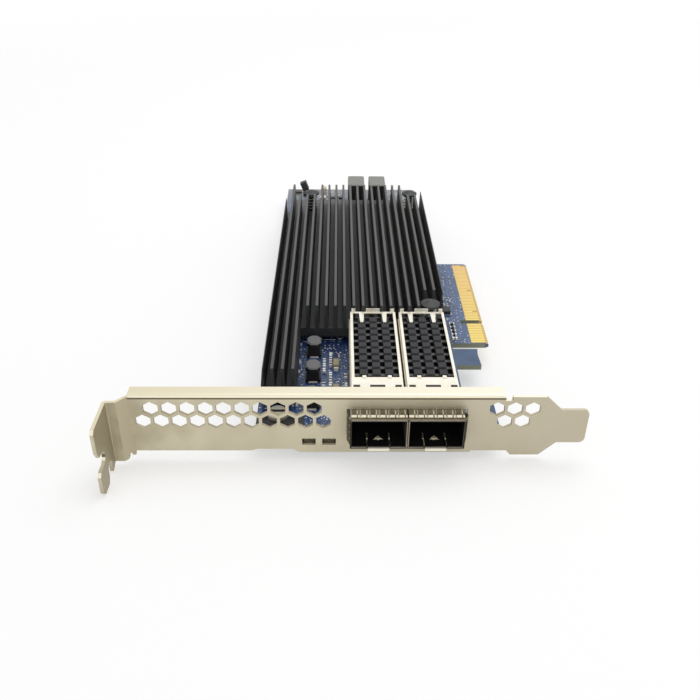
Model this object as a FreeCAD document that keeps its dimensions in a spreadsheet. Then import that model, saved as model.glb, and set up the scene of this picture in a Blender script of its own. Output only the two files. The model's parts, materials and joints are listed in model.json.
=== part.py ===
import FreeCAD, Part
import math
import os
import Sketcher

# A half-length network interface card: a low-profile board on a full-height folded bracket.
#
# Frame: the origin is the card's own datum, where the centre of the edge connector's key meets
# the connector's leading edge, in the component-side surface of the board. +X leaves the board
# at the edge connector, +Y runs from the bracket to the card's far end, and +Z leaves the
# component side. Millimetres throughout.

DRIVING_SIZES = [
    # Card datum against the bracket
    ("tab_to_tip", 102.4, "outer face of the bracket's tab to the connector's leading edge"),
    ("face_to_key", 57.4, "front face of the bracket to the centre of the connector's key"),
    ("edge_to_board_top", 4.25, "lower edge of the bracket to the board's component side"),
    # Board
    ("board_thickness", 1.57, "thickness of the circuit board"),
    ("board_length", 166.45, "front edge of the board to its far end"),
    ("board_front_gap", 0.34, "bracket's back face to the board's front edge"),
    ("board_left", 66.6, "connector's leading edge to the board's long left edge"),
    ("board_right", 13.4, "connector's leading edge back to the board's right edge"),
    ("key_width", 1.9, "width of the connector's key"),
    ("contact_pitch", 1.0, "pitch of the edge contacts"),
    ("contact_width", 0.7, "width of an edge contact"),
    ("contact_length", 4.2, "length of an edge contact"),
    ("contact_setback", 0.9, "bare board between the contacts and the leading edge"),
    ("contact_thickness", 0.05, "plating height of an edge contact"),
    ("contacts_near", 11, "contacts on the bracket side of the key"),
    ("contacts_far", 38, "contacts beyond the key"),
    ("contact_key_gap", 1.5, "centre of the key to the first contact's centre"),
    ("connector_margin", 1.1, "end of the connector tongue beyond its last contact's centre"),
    ("connector_depth", 11.2, "depth of the connector tongue"),
    ("key_depth", 6.9, "depth of the connector's key"),
    ("connector_slit", 3.1, "slit between the foot and the connector tongue"),
    ("connector_bevel", 0.45, "bevel on the connector's leading edge"),
    ("foot_reach", 3.9, "connector's leading edge back to the foot's end"),
    ("foot_near", 24.4, "key centre to the foot's near side"),
    ("foot_far", 15.7, "key centre to the foot's far side"),
    ("ear_reach", 3.4, "connector's leading edge back to the front ear's end"),
    ("ear_length", 18.8, "length of the front ear along the board"),
    # Bracket
    ("sheet", 0.86, "thickness of the bracket's sheet"),
    ("bracket_length", 120.02, "overall length of the bracket"),
    ("body_height", 17.2, "height of the bracket's body, flange included"),
    ("wide_height", 18.29, "height of the bracket's wide ends"),
    ("wide_drop", 1.4, "wide ends below the body's lower edge"),
    ("body_start", 5.5, "tab's outer face to the start of the flat body"),
    ("body_end", 98.6, "tab's outer face to the end of the flanged body"),
    ("notch_width", 1.7, "relief notch beside the flange"),
    ("notch_depth", 1.5, "depth of the relief notch"),
    ("shoulder_start", 108.75, "tab's outer face to the shoulders of the tongue"),
    ("tongue_start", 112.85, "tab's outer face to the tongue's full narrowing"),
    ("tongue_width", 10.19, "width of the tongue"),
    ("tongue_base", 2.65, "tongue's lower edge above the body's lower edge"),
    ("tongue_corner", 1.5, "corner radius of the tongue"),
    ("flange_depth", 3.85, "depth of the bent-back flange"),
    ("bend_radius", 1.1, "outer radius of the bends"),
    ("joggle", 2.5, "forward step of the tab end"),
    ("joggle_end", 3.3, "tab's outer face to the start of the joggle's slope"),
    ("tab_depth", 11.5, "tab's reach in front of the stepped plate"),
    ("tab_slot_width", 4.0, "width of the screw slot in the tab"),
    ("tab_slot_depth", 3.8, "depth of the screw slot"),
    ("tab_slot_height", 6.3, "screw slot's centre above the body's lower edge"),
    ("finger_drop", 1.3, "tab's finger below the wide end"),
    ("relief_width", 2.9, "width of the relief between the finger and the plate"),
    ("relief_top", 2.0, "top of that relief above the body's lower edge"),
    ("finger_width", 6.2, "width of the tab's finger"),
    # Vents, light slots and port window
    ("vent_flats", 3.7, "width of a hexagonal vent across its flats"),
    ("vent_pitch", 4.484, "pitch of the vents along a row"),
    ("vent_low", 9.275, "lower vent row above the body's lower edge"),
    ("vent_first", 8.58, "tab's outer face to the first vent"),
    ("vent_count", 11, "vents in the long lower row"),
    ("vent_right", 98.9, "tab's outer face to the first lower vent past the ports"),
    ("light_width", 3.45, "width of a light slot"),
    ("light_height", 2.08, "height of a light slot"),
    ("light_pitch", 5.12, "pitch of the light slots"),
    ("light_first", 49.68, "tab's outer face to the first light slot's centre"),
    ("light_drop", 1.4, "light slots' centre below the board's component side"),
    # Ports
    ("port_pitch", 14.25, "pitch of the two ports"),
    ("ports_middle", 74.3, "tab's outer face to the middle of the two ports"),
    ("cage_width", 14.05, "outer width of a port cage"),
    ("cage_height", 8.7, "outer height of a port cage"),
    ("cage_wall", 0.3, "sheet of a port cage"),
    ("cage_length", 50.0, "length of a port cage"),
    ("cage_nose", 4.5, "cage in front of the bracket's front face"),
    ("cage_corner", 0.45, "outer radius of the cage's long edges"),
    ("window_gap", 0.25, "gap above and below the cages in the bracket's window"),
    ("window_side_gap", 0.9, "gap beside the cages in the bracket's window"),
    ("cage_hole_start", 17.1, "nose to the sink window in the cage's roof"),
    ("cage_hole_rear", 1.5, "sink window to the cage's rear"),
    ("cage_hole_width", 11.8, "width of the sink window"),
    ("cage_floor_start", 34.5, "nose to the opening in the cage's floor"),
    ("cage_floor_margin", 1.0, "floor left beside that opening"),
    ("latch_slit", 0.35, "slits beside the latch tongue in the cage's floor"),
    ("latch_width", 5.3, "width of the latch tongue"),
    ("latch_length", 6.1, "length of the latch tongue"),
    ("latch_eye", 2.0, "length of the latch tongue's catch hole"),
    ("latch_lip", 0.5, "drop of the latch tongue's bent-down front edge"),
    ("leg_width", 0.8, "width of a cage leg"),
    ("leg_drop", 2.4, "cage legs below the board's component side"),
    ("leg_first", 12.5, "nose to the first pair of legs"),
    ("leg_pitch", 14.0, "pitch of the pairs of legs"),
    ("leg_count", 3, "pairs of legs"),
    ("leg_gap", 0.15, "gap of a leg in the board"),
    ("riding_gap", 0.1, "gap around the riding sink's foot and flange"),
    ("riding_foot", 0.45, "riding sink's reach below the cage's roof"),
    ("riding_flange", 0.2, "thickness of the riding sink's flange"),
    ("riding_lap", 0.4, "lap of that flange over the cage's roof"),
    ("pin_size_across", 2.1, "riding sink's pin across the port"),
    ("pin_size_along", 2.2, "riding sink's pin along the port"),
    ("pin_height", 1.2, "height of the riding sink's pins above its flange"),
    ("pin_root", 0.4, "depth of the valleys between the pins below the flange's top"),
    ("pin_pitch", 3.37, "pitch of the pins across the port"),
    ("pin_inset", 2.22, "ends of the sink window to the middle of the end rows of pins"),
    ("pin_columns", 3, "pins across the port"),
    ("pin_rows", 9, "pins along the port"),
    ("clip_sheet", 0.25, "sheet of the sink's clip"),
    ("clip_gap", 0.05, "gap between the flange and the clip's skirt"),
    ("clip_rail", 0.75, "width of the clip's top rails"),
    ("clip_start", 11.0, "nose to the clip's front edge"),
    ("clip_overhang", 0.2, "clip behind the cage's rear"),
    ("clip_front_bar", 5.4, "front bar of the clip"),
    ("clip_rear_bar", 0.8, "rear bar of the clip"),
    ("clip_tooth_place", 3.3, "middle of the clip to a tooth"),
    ("clip_tab_width", 4.0, "width of the clip's middle rear tab"),
    ("clip_bump", 0.5, "half the width of the clip's front tabs"),
    ("clip_slot", 0.7, "width of the slots in the clip's front bar"),
    ("clip_slot_inset", 0.5, "clip's front edge to those slots"),
    ("clip_slot_length", 1.3, "length of the outer slots"),
    ("clip_slot_place", 4.95, "middle of the clip to the outer slots"),
    ("clip_bar_slot", 3.8, "length of the middle slot"),
    ("clip_tooth_length", 5.0, "length of the clip's teeth"),
    ("clip_tooth_width", 1.5, "width of a tooth at its root"),
    ("clip_tab_rise", 1.1, "rear tabs above the clip's top"),
    ("socket_depth", 9.0, "depth of the edge socket in a cage"),
    ("socket_height", 5.4, "height of the edge socket"),
    ("socket_width", 11.2, "width of the edge socket"),
    ("socket_back_gap", 1.2, "cage's rear wall to the socket"),
    ("socket_slot", 1.2, "height of the edge socket's slot"),
    ("socket_slot_width", 9.4, "width of the edge socket's slot"),
    ("socket_slot_depth", 6.0, "depth of the edge socket's slot"),
    ("socket_slot_level", 2.6, "board to the underside of that slot"),
    ("collar_sheet", 0.15, "sheet of the spring collar"),
    ("collar_band", 0.9, "depth of the collar's front band"),
    ("collar_start", 0.2, "cage nose to the collar's front edge"),
    ("finger_pitch", 2.35, "pitch of the collar's spring fingers"),
    ("finger_across", 1.95, "width of a spring finger"),
    ("finger_rise", 0.75, "rise of a spring finger"),
    ("finger_length", 3.9, "length of a spring finger, band included"),
    ("side_finger_pitch", 2.1, "pitch of the spring fingers at the sides"),
    ("side_finger_across", 1.7, "width of a spring finger at the sides"),
    ("fingers_across", 12, "spring fingers along the collar's long sides"),
    ("fingers_high", 4, "spring fingers on the collar's short sides"),
    # Heat sink
    ("sink_gap", 1.55, "board to the heat sink's underside"),
    ("sink_base", 2.9, "base thickness of the heat sink"),
    ("fin_height", 7.8, "height of the fins above the base"),
    ("fin_pitch", 2.723, "pitch of the fins"),
    ("fin_count", 20, "number of fins"),
    ("fin_root", 1.2, "thickness of a fin at its root"),
    ("fin_top", 0.75, "thickness of a fin at its top"),
    ("outer_fin_lean", 0.77, "inward lean of the two outermost faces"),
    ("first_fin", 65.22, "connector's leading edge back to the first fin"),
    ("sink_cage_gap", 0.5, "rear of the cages to the front of the middle fins"),
    ("arm_setback", 13.0, "bracket's front face to the front of the long arm"),
    ("arm_fins", 4, "fins carried on by the arm"),
    ("sink_board_end", 22.45, "far end of the board to the rear of the base"),
    ("fin_setback", 3.6, "rear of the base to the rear of the fins"),
    ("rear_cut", 9.7, "length of the rear cut-outs in the fins"),
    ("last_fin_cut", 6.5, "rear of the fins to the rear of the last fin"),
    ("front_cut", 9.8, "length of the front cut-out in the fins"),
    ("left_fin_cut", 14.1, "rear of the fins to the rear of the first fin"),
    ("left_base_cut", 12.5, "length of the notch in the base's left rear corner"),
    ("left_base_notch", 2.6, "width of that notch"),
    ("right_base_cut", 9.2, "length of the notch in the base's right rear corner"),
    ("right_base_notch", 1.6, "width of that notch"),
    ("front_pin_inset", 3.1, "front of the middle fins to the front push pin"),
    ("rear_pin_inset", 9.6, "rear of the base to the rear push pins"),
    ("right_pin_side", 5.1, "right side of the heat sink to the right push pins"),
    ("left_pin_side", 10.2, "left side of the heat sink to the left push pin"),
    # Push pins
    ("shaft_radius", 1.25, "radius of a push pin's shaft"),
    ("shaft_gap", 0.15, "gap of the shaft in the board"),
    ("sink_hole_gap", 0.4, "gap of the shaft in the heat sink"),
    ("head_radius", 2.85, "radius of a push pin's head"),
    ("head_rim", 0.5, "rim height of a push pin's head"),
    ("head_crown", 1.2, "crown height above the rim"),
    ("head_height", 10.9, "board to the underside of a push pin's head"),
    ("barb_radius", 1.7, "radius of a push pin's barb"),
    ("barb_length", 2.0, "push pin below the board"),
    ("wire_radius", 0.22, "wire radius of a push pin's spring"),
    ("spring_radius", 1.8, "mean radius of the spring"),
    ("spring_turns", 3.0, "turns of the spring"),
    # Chips and passive parts
    ("chip_size", 33.0, "side of the controller's package"),
    ("chip_beyond_key", 38.0, "key centre to the controller's centre"),
    ("chip_substrate", 0.55, "thickness of the package's substrate"),
    ("lid_size", 27.0, "side of the package's lid"),
    ("pad_thickness", 0.2, "thickness of the controller's thermal pad"),
    ("memory_length", 11.0, "length of a memory chip"),
    ("memory_width", 8.0, "width of a memory chip"),
    ("memory_height", 1.1, "height of a memory chip"),
    ("memory_pitch", 13.5, "pitch of the memory chips"),
    ("choke_length", 5.0, "length of a moulded choke"),
    ("choke_width", 4.2, "width of a moulded choke"),
    ("choke_height", 4.9, "height of a moulded choke"),
    ("choke_pitch", 12.6, "pitch of the moulded chokes"),
    ("choke_corner", 1.2, "bevel of the upright corners of a choke's top plate"),
    ("choke_edge", 0.35, "bevel round a choke's top"),
    ("choke_plate", 1.4, "thickness of a choke's top plate"),
    ("choke_foot", 1.0, "thickness of a choke's foot"),
    ("choke_waist", 0.45, "setback of the winding between plate and foot"),
    ("choke_place", 50.1, "tab's outer face to the chokes"),
    ("choke_first", 13.7, "bracket's front face to the first choke"),
    ("bead_length", 10.2, "length of a bead inductor"),
    ("bead_width", 6.5, "width of a bead inductor"),
    ("bead_height", 9.65, "height of a bead inductor"),
    ("bead_pitch", 8.4, "pitch of the bead inductors"),
    ("bead_edge", 0.35, "bevel round a bead inductor"),
    ("bead_place", 64.2, "tab's outer face to the first bead inductor"),
    ("bead_inset", 14.5, "far end of the board to the bead inductors' middle"),
    ("cap_gap", 0.9, "bare board between like capacitors"),
    ("cap_length", 1.6, "length of a ceramic capacitor"),
    ("cap_width", 0.8, "width of a ceramic capacitor"),
    ("cap_height", 0.8, "height of a ceramic capacitor"),
    ("tantalum_length", 4.6, "length of a tantalum capacitor"),
    ("tantalum_width", 1.8, "width of a tantalum capacitor"),
    ("tantalum_height", 1.9, "height of a tantalum capacitor"),
    ("tantalum_place", 56.5, "tab's outer face to the tantalum capacitors"),
    ("logic_length", 3.3, "length of the small logic chip"),
    ("logic_width", 2.7, "width of the small logic chip"),
    ("logic_height", 1.2, "height of the small logic chip"),
    ("logic_inset", 10.9, "connector's leading edge back to the logic chip"),
    ("logic_place", 6.2, "key centre to the logic chip"),
    ("header_place", 43.7, "tab's outer face to the header"),
    ("header_inset", 6.6, "far end of the board to the header"),
    ("wire_header_place", 50.9, "tab's outer face to the wire header"),
    ("wire_header_inset", 2.6, "far end of the board to the wire header"),
    ("wire_header_width", 2.4, "width of the wire header"),
    ("header_height", 2.0, "height of the header's body"),
    ("header_width", 2.5, "width of the header's body"),
    ("header_length", 2.5, "length of the header's body"),
    ("jumper_height", 3.6, "height of the jumper cap"),
    ("jumper_lean", 21.0, "lean of the jumper cap in degrees"),
    ("wire_header_height", 2.2, "height of the wire header"),
    ("stage_size", 5.0, "side of a power stage chip"),
    ("stage_height", 0.9, "height of a power stage chip"),
    ("stage_gap", 1.9, "bead inductor to the power stage behind it"),
    ("lamp_width", 2.6, "width of a status light"),
    ("lamp_length", 2.2, "length of a status light"),
    ("lamp_height", 1.7, "height of a status light"),
    ("lens_radius", 0.75, "radius of a status light's lens"),
    ("screw_radius", 1.5, "radius of a bracket screw's shank"),
    ("screw_head_radius", 2.75, "radius of a bracket screw's head"),
    ("screw_head_height", 1.7, "height of a bracket screw's head"),
    ("screw_gap", 0.1, "gap of a bracket screw in the board"),
    ("lug_width", 6.6, "width of a bracket lug"),
    ("lug_slope_start", 1.3, "front face to the start of the lug's slope"),
    ("lug_slope_end", 2.9, "front face to the end of the lug's slope"),
    ("lug_depth", 12.0, "depth of a bracket lug behind the front face"),
    ("edge_recess_start", 35.0, "tab's outer face to the recess in the body's lower edge"),
    ("edge_recess_end", 47.2, "tab's outer face to the end of that recess"),
    ("edge_drop_end", 91.0, "tab's outer face to the end of the lowered edge"),
    ("edge_step", 0.5, "rise of the recess and drop of the lowered edge"),
    ("edge_slope", 1.6, "length of the slopes at both ends of the recess"),
    ("lug_screw", 9.4, "front face to a bracket screw"),
    ("lug_left", 41.3, "tab's outer face to the left bracket screw"),
    ("lug_right", 93.4, "tab's outer face to the right bracket screw"),
]


class Size:
    """A length that carries its number together with the sheet expression behind it."""

    def __init__(self, value, text):
        self.value = value
        self.text = text

    def joined(self, other, sign, value):
        return Size(value, "(" + self.text + " " + sign + " " + other.text + ")")

    def __add__(self, other):
        other = as_size(other)
        return self.joined(other, "+", self.value + other.value)

    def __sub__(self, other):
        other = as_size(other)
        return self.joined(other, "-", self.value - other.value)

    def __mul__(self, other):
        other = as_size(other)
        return self.joined(other, "*", self.value * other.value)

    def __truediv__(self, other):
        other = as_size(other)
        return self.joined(other, "/", self.value / other.value)

    def __radd__(self, other):
        return as_size(other) + self

    def __rsub__(self, other):
        return as_size(other) - self

    def __rmul__(self, other):
        return as_size(other) * self

    def __neg__(self):
        return 0 - self


def as_size(value):
    if isinstance(value, Size):
        return value
    return Size(float(value), "%.6f" % value)


class Sizes:
    """The driving dimensions, by name."""


doc = FreeCAD.newDocument("NetworkCard")
sheet = doc.addObject("Spreadsheet::Sheet", "Sizes")
size = Sizes()
for row, (alias, number, meaning) in enumerate(DRIVING_SIZES, start=1):
    sheet.set("A%d" % row, meaning)
    sheet.set("B%d" % row, str(number))
    sheet.setAlias("B%d" % row, alias)
    setattr(size, alias, Size(float(number), "Sizes." + alias))
doc.recompute()

nodes = []

# Planes that several pieces share
tab_plane = -size.tab_to_tip
face_plane = -size.face_to_key
lower_edge = -size.edge_to_board_top
board_front = face_plane + size.sheet + size.board_front_gap
board_rear = board_front + size.board_length
board_under = -size.board_thickness
nose = face_plane - size.cage_nose
sink_floor = size.sink_gap + size.sink_base
fins_top = sink_floor + size.fin_height
sink_left = -size.first_fin - size.fin_root / 2
last_fin = -size.first_fin + size.fin_pitch * (size.fin_count - 1)
sink_right = last_fin + size.fin_root / 2
arm_front = face_plane + size.arm_setback
sink_front = nose + size.cage_length + size.sink_cage_gap
sink_rear = board_rear - size.sink_board_end
fins_rear = sink_rear - size.fin_setback


def node(name, piece):
    """Register a finished piece under the name of its file."""
    piece.Label = name
    nodes.append(piece)
    return piece


def bind(piece, prop, value):
    piece.setExpression(prop, as_size(value).text)


def place(piece, x, y, z):
    """Place a piece, in numbers and in expressions."""
    where = [as_size(v) for v in (x, y, z)]
    piece.Placement.Base = FreeCAD.Vector(*[v.value for v in where])
    for axis, value in zip("xyz", where):
        bind(piece, "Placement.Base." + axis, value)


def new_body(name):
    return doc.addObject("PartDesign::Body", name)


def plane_sketch(body, name, plane, level):
    """A sketch on one of the body's origin planes, moved to a level along that plane's axis."""
    item = body.newObject("Sketcher::SketchObject", name)
    origin_plane = [f for f in body.Origin.OriginFeatures if f.Role == plane][0]
    item.AttachmentSupport = [(origin_plane, "")]
    item.MapMode = "FlatFace"
    along = -as_size(level) if plane == "XZ_Plane" else as_size(level)
    bind(item, "AttachmentOffset.Base.z", along)
    return item


def pin_point(limits, rules, geometry, corner, point):
    """Hold a sketch point by its distances from the sketch's origin."""
    for kind, axis_line, value in (("DistanceX", -2, point[0]), ("DistanceY", -1, point[1])):
        value = as_size(value)
        if abs(value.value) < 1e-9:
            limits.append(Sketcher.Constraint("PointOnObject", geometry, corner, axis_line))
            rules.append(None)
        else:
            limits.append(Sketcher.Constraint(kind, -1, 1, geometry, corner, value.value))
            rules.append(value)


def vector(point):
    return FreeCAD.Vector(as_size(point[0]).value, as_size(point[1]).value, 0)


def add_limits(item, limits, rules):
    first = item.ConstraintCount
    item.addConstraint(limits)
    for number, rule in enumerate(rules):
        if rule is not None:
            item.setExpression("Constraints[%d]" % (first + number), rule.text)


def draw_outline(item, points):
    """A closed run of lines through the given corners."""
    count = len(points)
    first = item.GeometryCount
    lines = []
    for n in range(count):
        lines.append(Part.LineSegment(vector(points[n]), vector(points[(n + 1) % count])))
    item.addGeometry(lines, False)
    limits = []
    rules = []
    for n in range(count):
        after = first + (n + 1) % count
        limits.append(Sketcher.Constraint("Coincident", first + n, 2, after, 1))
        rules.append(None)
        pin_point(limits, rules, first + n, 1, points[n])
    add_limits(item, limits, rules)


def draw_circle(item, centre, radius):
    first = item.GeometryCount
    radius = as_size(radius)
    item.addGeometry(Part.Circle(vector(centre), FreeCAD.Vector(0, 0, 1), radius.value), False)
    limits = []
    rules = []
    pin_point(limits, rules, first, 3, centre)
    limits.append(Sketcher.Constraint("Radius", first, radius.value))
    rules.append(radius)
    add_limits(item, limits, rules)


def rectangle(x0, x1, y0, y1):
    return [(x0, y0), (x1, y0), (x1, y1), (x0, y1)]


def pad(body, name, plane, outlines, start, end, circles=()):
    """Material between two levels along the plane's axis."""
    start = as_size(start)
    end = as_size(end)
    level = end if plane == "XZ_Plane" else start
    item = plane_sketch(body, name + "_outline", plane, level)
    for points in outlines:
        draw_outline(item, points)
    for centre, radius in circles:
        draw_circle(item, centre, radius)
    feature = body.newObject("PartDesign::Pad", name)
    feature.Profile = item
    bind(feature, "Length", end - start)
    return feature


def cut(body, name, plane, outlines, start, end, circles=()):
    """A cut between two levels along the plane's axis."""
    start = as_size(start)
    end = as_size(end)
    level = start if plane == "XZ_Plane" else end
    item = plane_sketch(body, name + "_outline", plane, level)
    for points in outlines:
        draw_outline(item, points)
    for centre, radius in circles:
        draw_circle(item, centre, radius)
    feature = body.newObject("PartDesign::Pocket", name)
    feature.Profile = item
    bind(feature, "Length", end - start)
    return feature


def repeat(body, name, feature, axis, pitch, count):
    """Copies of a feature in a row along one of the body's axes."""
    pattern = body.newObject("PartDesign::LinearPattern", name)
    pattern.Originals = [feature]
    line = [f for f in body.Origin.OriginFeatures if f.Role == axis][0]
    pattern.Direction = (line, [""])
    count = as_size(count)
    bind(pattern, "Length", as_size(pitch) * (count - 1))
    bind(pattern, "Occurrences", count)
    body.Tip = pattern
    return pattern


def rounded(body, name, radius, wanted):
    """A fillet on the edges of the body that the test picks."""
    doc.recompute()
    base = body.Tip
    edges = base.Shape.Edges
    names = ["Edge%d" % (n + 1) for n in range(len(edges)) if wanted(edges[n])]
    if not names:
        raise RuntimeError("no edge found for " + name)
    feature = body.newObject("PartDesign::Fillet", name)
    feature.Base = (base, names)
    bind(feature, "Radius", radius)
    return feature


def edge_at(edge, direction, **where):
    """Whether an edge runs along a direction and lies at the given coordinates."""
    if len(edge.Vertexes) != 2:
        return False
    start, end = edge.Vertexes[0].Point, edge.Vertexes[1].Point
    span = end - start
    if span.Length < 1e-6 or abs(span.normalize().dot(direction)) < 0.999:
        return False
    for axis, value in where.items():
        if abs(getattr(start, axis) - as_size(value).value) > 0.01:
            return False
        if abs(getattr(end, axis) - as_size(value).value) > 0.01:
            return False
    return True


ALONG_X = FreeCAD.Vector(1, 0, 0)
ALONG_Y = FreeCAD.Vector(0, 1, 0)
ALONG_Z = FreeCAD.Vector(0, 0, 1)


def block(name, x0, x1, y0, y1, z0, z1):
    """A plain block between two corners."""
    piece = doc.addObject("Part::Box", name)
    bind(piece, "Length", as_size(x1) - x0)
    bind(piece, "Width", as_size(y1) - y0)
    bind(piece, "Height", as_size(z1) - z0)
    place(piece, x0, y0, z0)
    return piece


def centred_block(name, x, y, z, length_x, length_y, height):
    x = as_size(x)
    y = as_size(y)
    z = as_size(z)
    half_x = as_size(length_x) / 2
    half_y = as_size(length_y) / 2
    return block(name, x - half_x, x + half_x, y - half_y, y + half_y, z, z + height)


def fused(name, pieces):
    piece = doc.addObject("Part::MultiFuse", name)
    piece.Shapes = pieces
    return piece


def group(name, pieces):
    """Several like, separate solids in one node."""
    piece = doc.addObject("Part::Compound", name)
    piece.Links = pieces
    return node(name, piece)


# Bracket: drawn from the tab's outer face (x), the front face (y) and the lower edge (z)
bracket = new_body("BracketBody")
wide_bottom = -size.wide_drop
wide_top = wide_bottom + size.wide_height
tongue_top = size.tongue_base + size.tongue_width
notch_floor = size.body_height - size.notch_depth
wide_start = size.body_end + size.notch_width
step_run = size.wide_drop * 0.8
face_outline = [
    (size.body_start, 0),
    (size.edge_recess_start, 0),
    (size.edge_recess_start + size.edge_slope, size.edge_step),
    (size.edge_recess_end - size.edge_slope, size.edge_step),
    (size.edge_recess_end, -size.edge_step),
    (size.edge_drop_end, -size.edge_step),
    (size.edge_drop_end, 0),
    (wide_start, 0),
    (wide_start + step_run, wide_bottom),
    (size.shoulder_start, wide_bottom),
    (size.tongue_start, size.tongue_base),
    (size.bracket_length, size.tongue_base),
    (size.bracket_length, tongue_top),
    (size.tongue_start, tongue_top),
    (size.shoulder_start, wide_top),
    (wide_start, wide_top),
    (wide_start, notch_floor),
    (size.body_end, notch_floor),
    (size.body_end, size.body_height),
    (size.body_start, size.body_height),
]
pad(bracket, "Face", "XZ_Plane", [face_outline], 0, size.sheet)
flange_under = size.body_height - size.sheet
flange_outline = rectangle(0, size.flange_depth, flange_under, size.body_height)
pad(bracket, "Flange", "YZ_Plane", [flange_outline], size.body_start, size.body_end)
rounded(bracket, "TongueCorners", size.tongue_corner,
        lambda e: edge_at(e, ALONG_Y, x=size.bracket_length))
inner_bend = size.bend_radius - size.sheet
rounded(bracket, "FlangeBend", size.bend_radius,
        lambda e: edge_at(e, ALONG_X, y=0, z=size.body_height))
rounded(bracket, "FlangeBendInside", inner_bend,
        lambda e: edge_at(e, ALONG_X, y=size.sheet, z=flange_under))

# The tab end steps forward, then folds square to the face
step_front = -size.joggle
step_back = step_front + size.sheet
step_outline = [
    (0, step_front),
    (size.joggle_end, step_front),
    (size.body_start, 0),
    (size.body_start, size.sheet),
    (size.joggle_end - size.sheet / 2, step_back),
    (0, step_back),
]
pad(bracket, "SteppedEnd", "XY_Plane", [step_outline], wide_bottom, wide_top)
corner_clear = [
    (size.joggle_end + size.sheet, wide_bottom - 1),
    (size.body_start + 1, wide_bottom - 1),
    (size.body_start + 1, 0),
    (size.joggle_end + size.sheet * 1.5, 0),
    (size.joggle_end + size.sheet, -size.wide_drop / 2),
]
cut(bracket, "SteppedCorner", "XZ_Plane", [corner_clear], step_front - 1, 0)
tab_front = step_front - size.tab_depth
slot_top = size.tab_slot_height + size.tab_slot_width / 2
slot_bottom = size.tab_slot_height - size.tab_slot_width / 2
finger_tip = wide_bottom - size.finger_drop
finger_front = tab_front - size.sheet / 2
finger_back = finger_front + size.finger_width
relief_back = finger_back + size.relief_width
bevel = size.sheet
tab_outline = [
    (step_front, wide_top),
    (tab_front + bevel, wide_top),
    (tab_front, wide_top - bevel),
    (tab_front, slot_top + bevel * 2.5),
    (tab_front + bevel * 1.5, slot_top),
    (tab_front + bevel / 2, slot_bottom),
    (finger_front, slot_bottom - bevel),
    (finger_front, finger_tip + bevel * 1.5),
    (finger_front + bevel * 1.5, finger_tip),
    (finger_back - bevel * 1.5, finger_tip),
    (finger_back - bevel / 3, wide_bottom),
    (finger_back, size.relief_top - bevel),
    (finger_back + bevel, size.relief_top),
    (relief_back - bevel, size.relief_top),
    (relief_back, size.relief_top - bevel),
    (relief_back, wide_bottom - bevel),
    (relief_back + bevel, wide_bottom - bevel),
    (step_front, wide_bottom),
]
pad(bracket, "Tab", "YZ_Plane", [tab_outline], 0, size.sheet)
slot_end = tab_front + bevel * 1.5 + size.tab_slot_depth - size.tab_slot_width / 2
slot_outline = rectangle(finger_front - 1, slot_end, slot_bottom, slot_top)
cut(bracket, "ScrewSlot", "YZ_Plane", [slot_outline], -1, size.sheet + 1)
slot_round = [((slot_end, size.tab_slot_height), size.tab_slot_width / 2)]
cut(bracket, "ScrewSlotEnd", "YZ_Plane", [], -1, size.sheet + 1, slot_round)
rounded(bracket, "TabBend", size.bend_radius,
        lambda e: edge_at(e, ALONG_Z, x=0, y=step_back))
rounded(bracket, "TabBendInside", inner_bend,
        lambda e: edge_at(e, ALONG_Z, x=size.sheet, y=step_front))

# Lugs that carry the board, folded back from the lower edge
lug_top = size.edge_to_board_top - size.board_thickness
lug_under = lug_top - size.sheet
lug_profile = [
    (0, size.edge_step),
    (size.lug_slope_start + size.sheet / 2, size.edge_step),
    (size.lug_slope_end + size.sheet / 2, lug_under),
    (size.lug_depth, lug_under),
    (size.lug_depth, lug_top),
    (size.lug_slope_end, lug_top),
    (size.lug_slope_start, size.edge_step + size.sheet),
    (0, size.edge_step + size.sheet),
]
for side, lug_x in (("Left", size.lug_left), ("Right", size.lug_right)):
    pad(bracket, "Lug" + side, "YZ_Plane", [lug_profile],
        lug_x - size.lug_width / 2, lug_x + size.lug_width / 2)
    cut(bracket, "LugHole" + side, "XY_Plane", [], lug_under - 1, lug_top + 1,
        [((lug_x, size.lug_screw), size.screw_radius + size.screw_gap)])

# Port window and status light slots
board_top = size.edge_to_board_top
port_width = size.port_pitch + size.cage_width
window_outline = rectangle(size.ports_middle - port_width / 2 - size.window_side_gap,
                           size.ports_middle + port_width / 2 + size.window_side_gap,
                           board_top - size.window_gap,
                           board_top + size.cage_height + size.window_gap)
cut(bracket, "PortWindow", "XZ_Plane", [window_outline], -1, size.sheet + 1)
light_middle = board_top - size.light_drop
light_outline = rectangle(size.light_first - size.light_width / 2,
                          size.light_first + size.light_width / 2,
                          light_middle - size.light_height / 2,
                          light_middle + size.light_height / 2)
light_slot = cut(bracket, "LightSlot", "XZ_Plane", [light_outline], -1, size.sheet + 1)
repeat(bracket, "LightSlots", light_slot, "X_Axis", size.light_pitch, 2)

# Hexagonal vents stand on their points, in rows that nest
half_flats = size.vent_flats / 2
half_side = half_flats * math.tan(math.radians(30))
row_rise = size.vent_pitch * math.cos(math.radians(30))


def vent_row(name, first, level, count):
    corners = [
        (first, level - half_side * 2),
        (first + half_flats, level - half_side),
        (first + half_flats, level + half_side),
        (first, level + half_side * 2),
        (first - half_flats, level + half_side),
        (first - half_flats, level - half_side),
    ]
    vent = cut(bracket, name, "XZ_Plane", [corners], -1, size.sheet + 1)
    repeat(bracket, name + "Row", vent, "X_Axis", size.vent_pitch, count)


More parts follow.
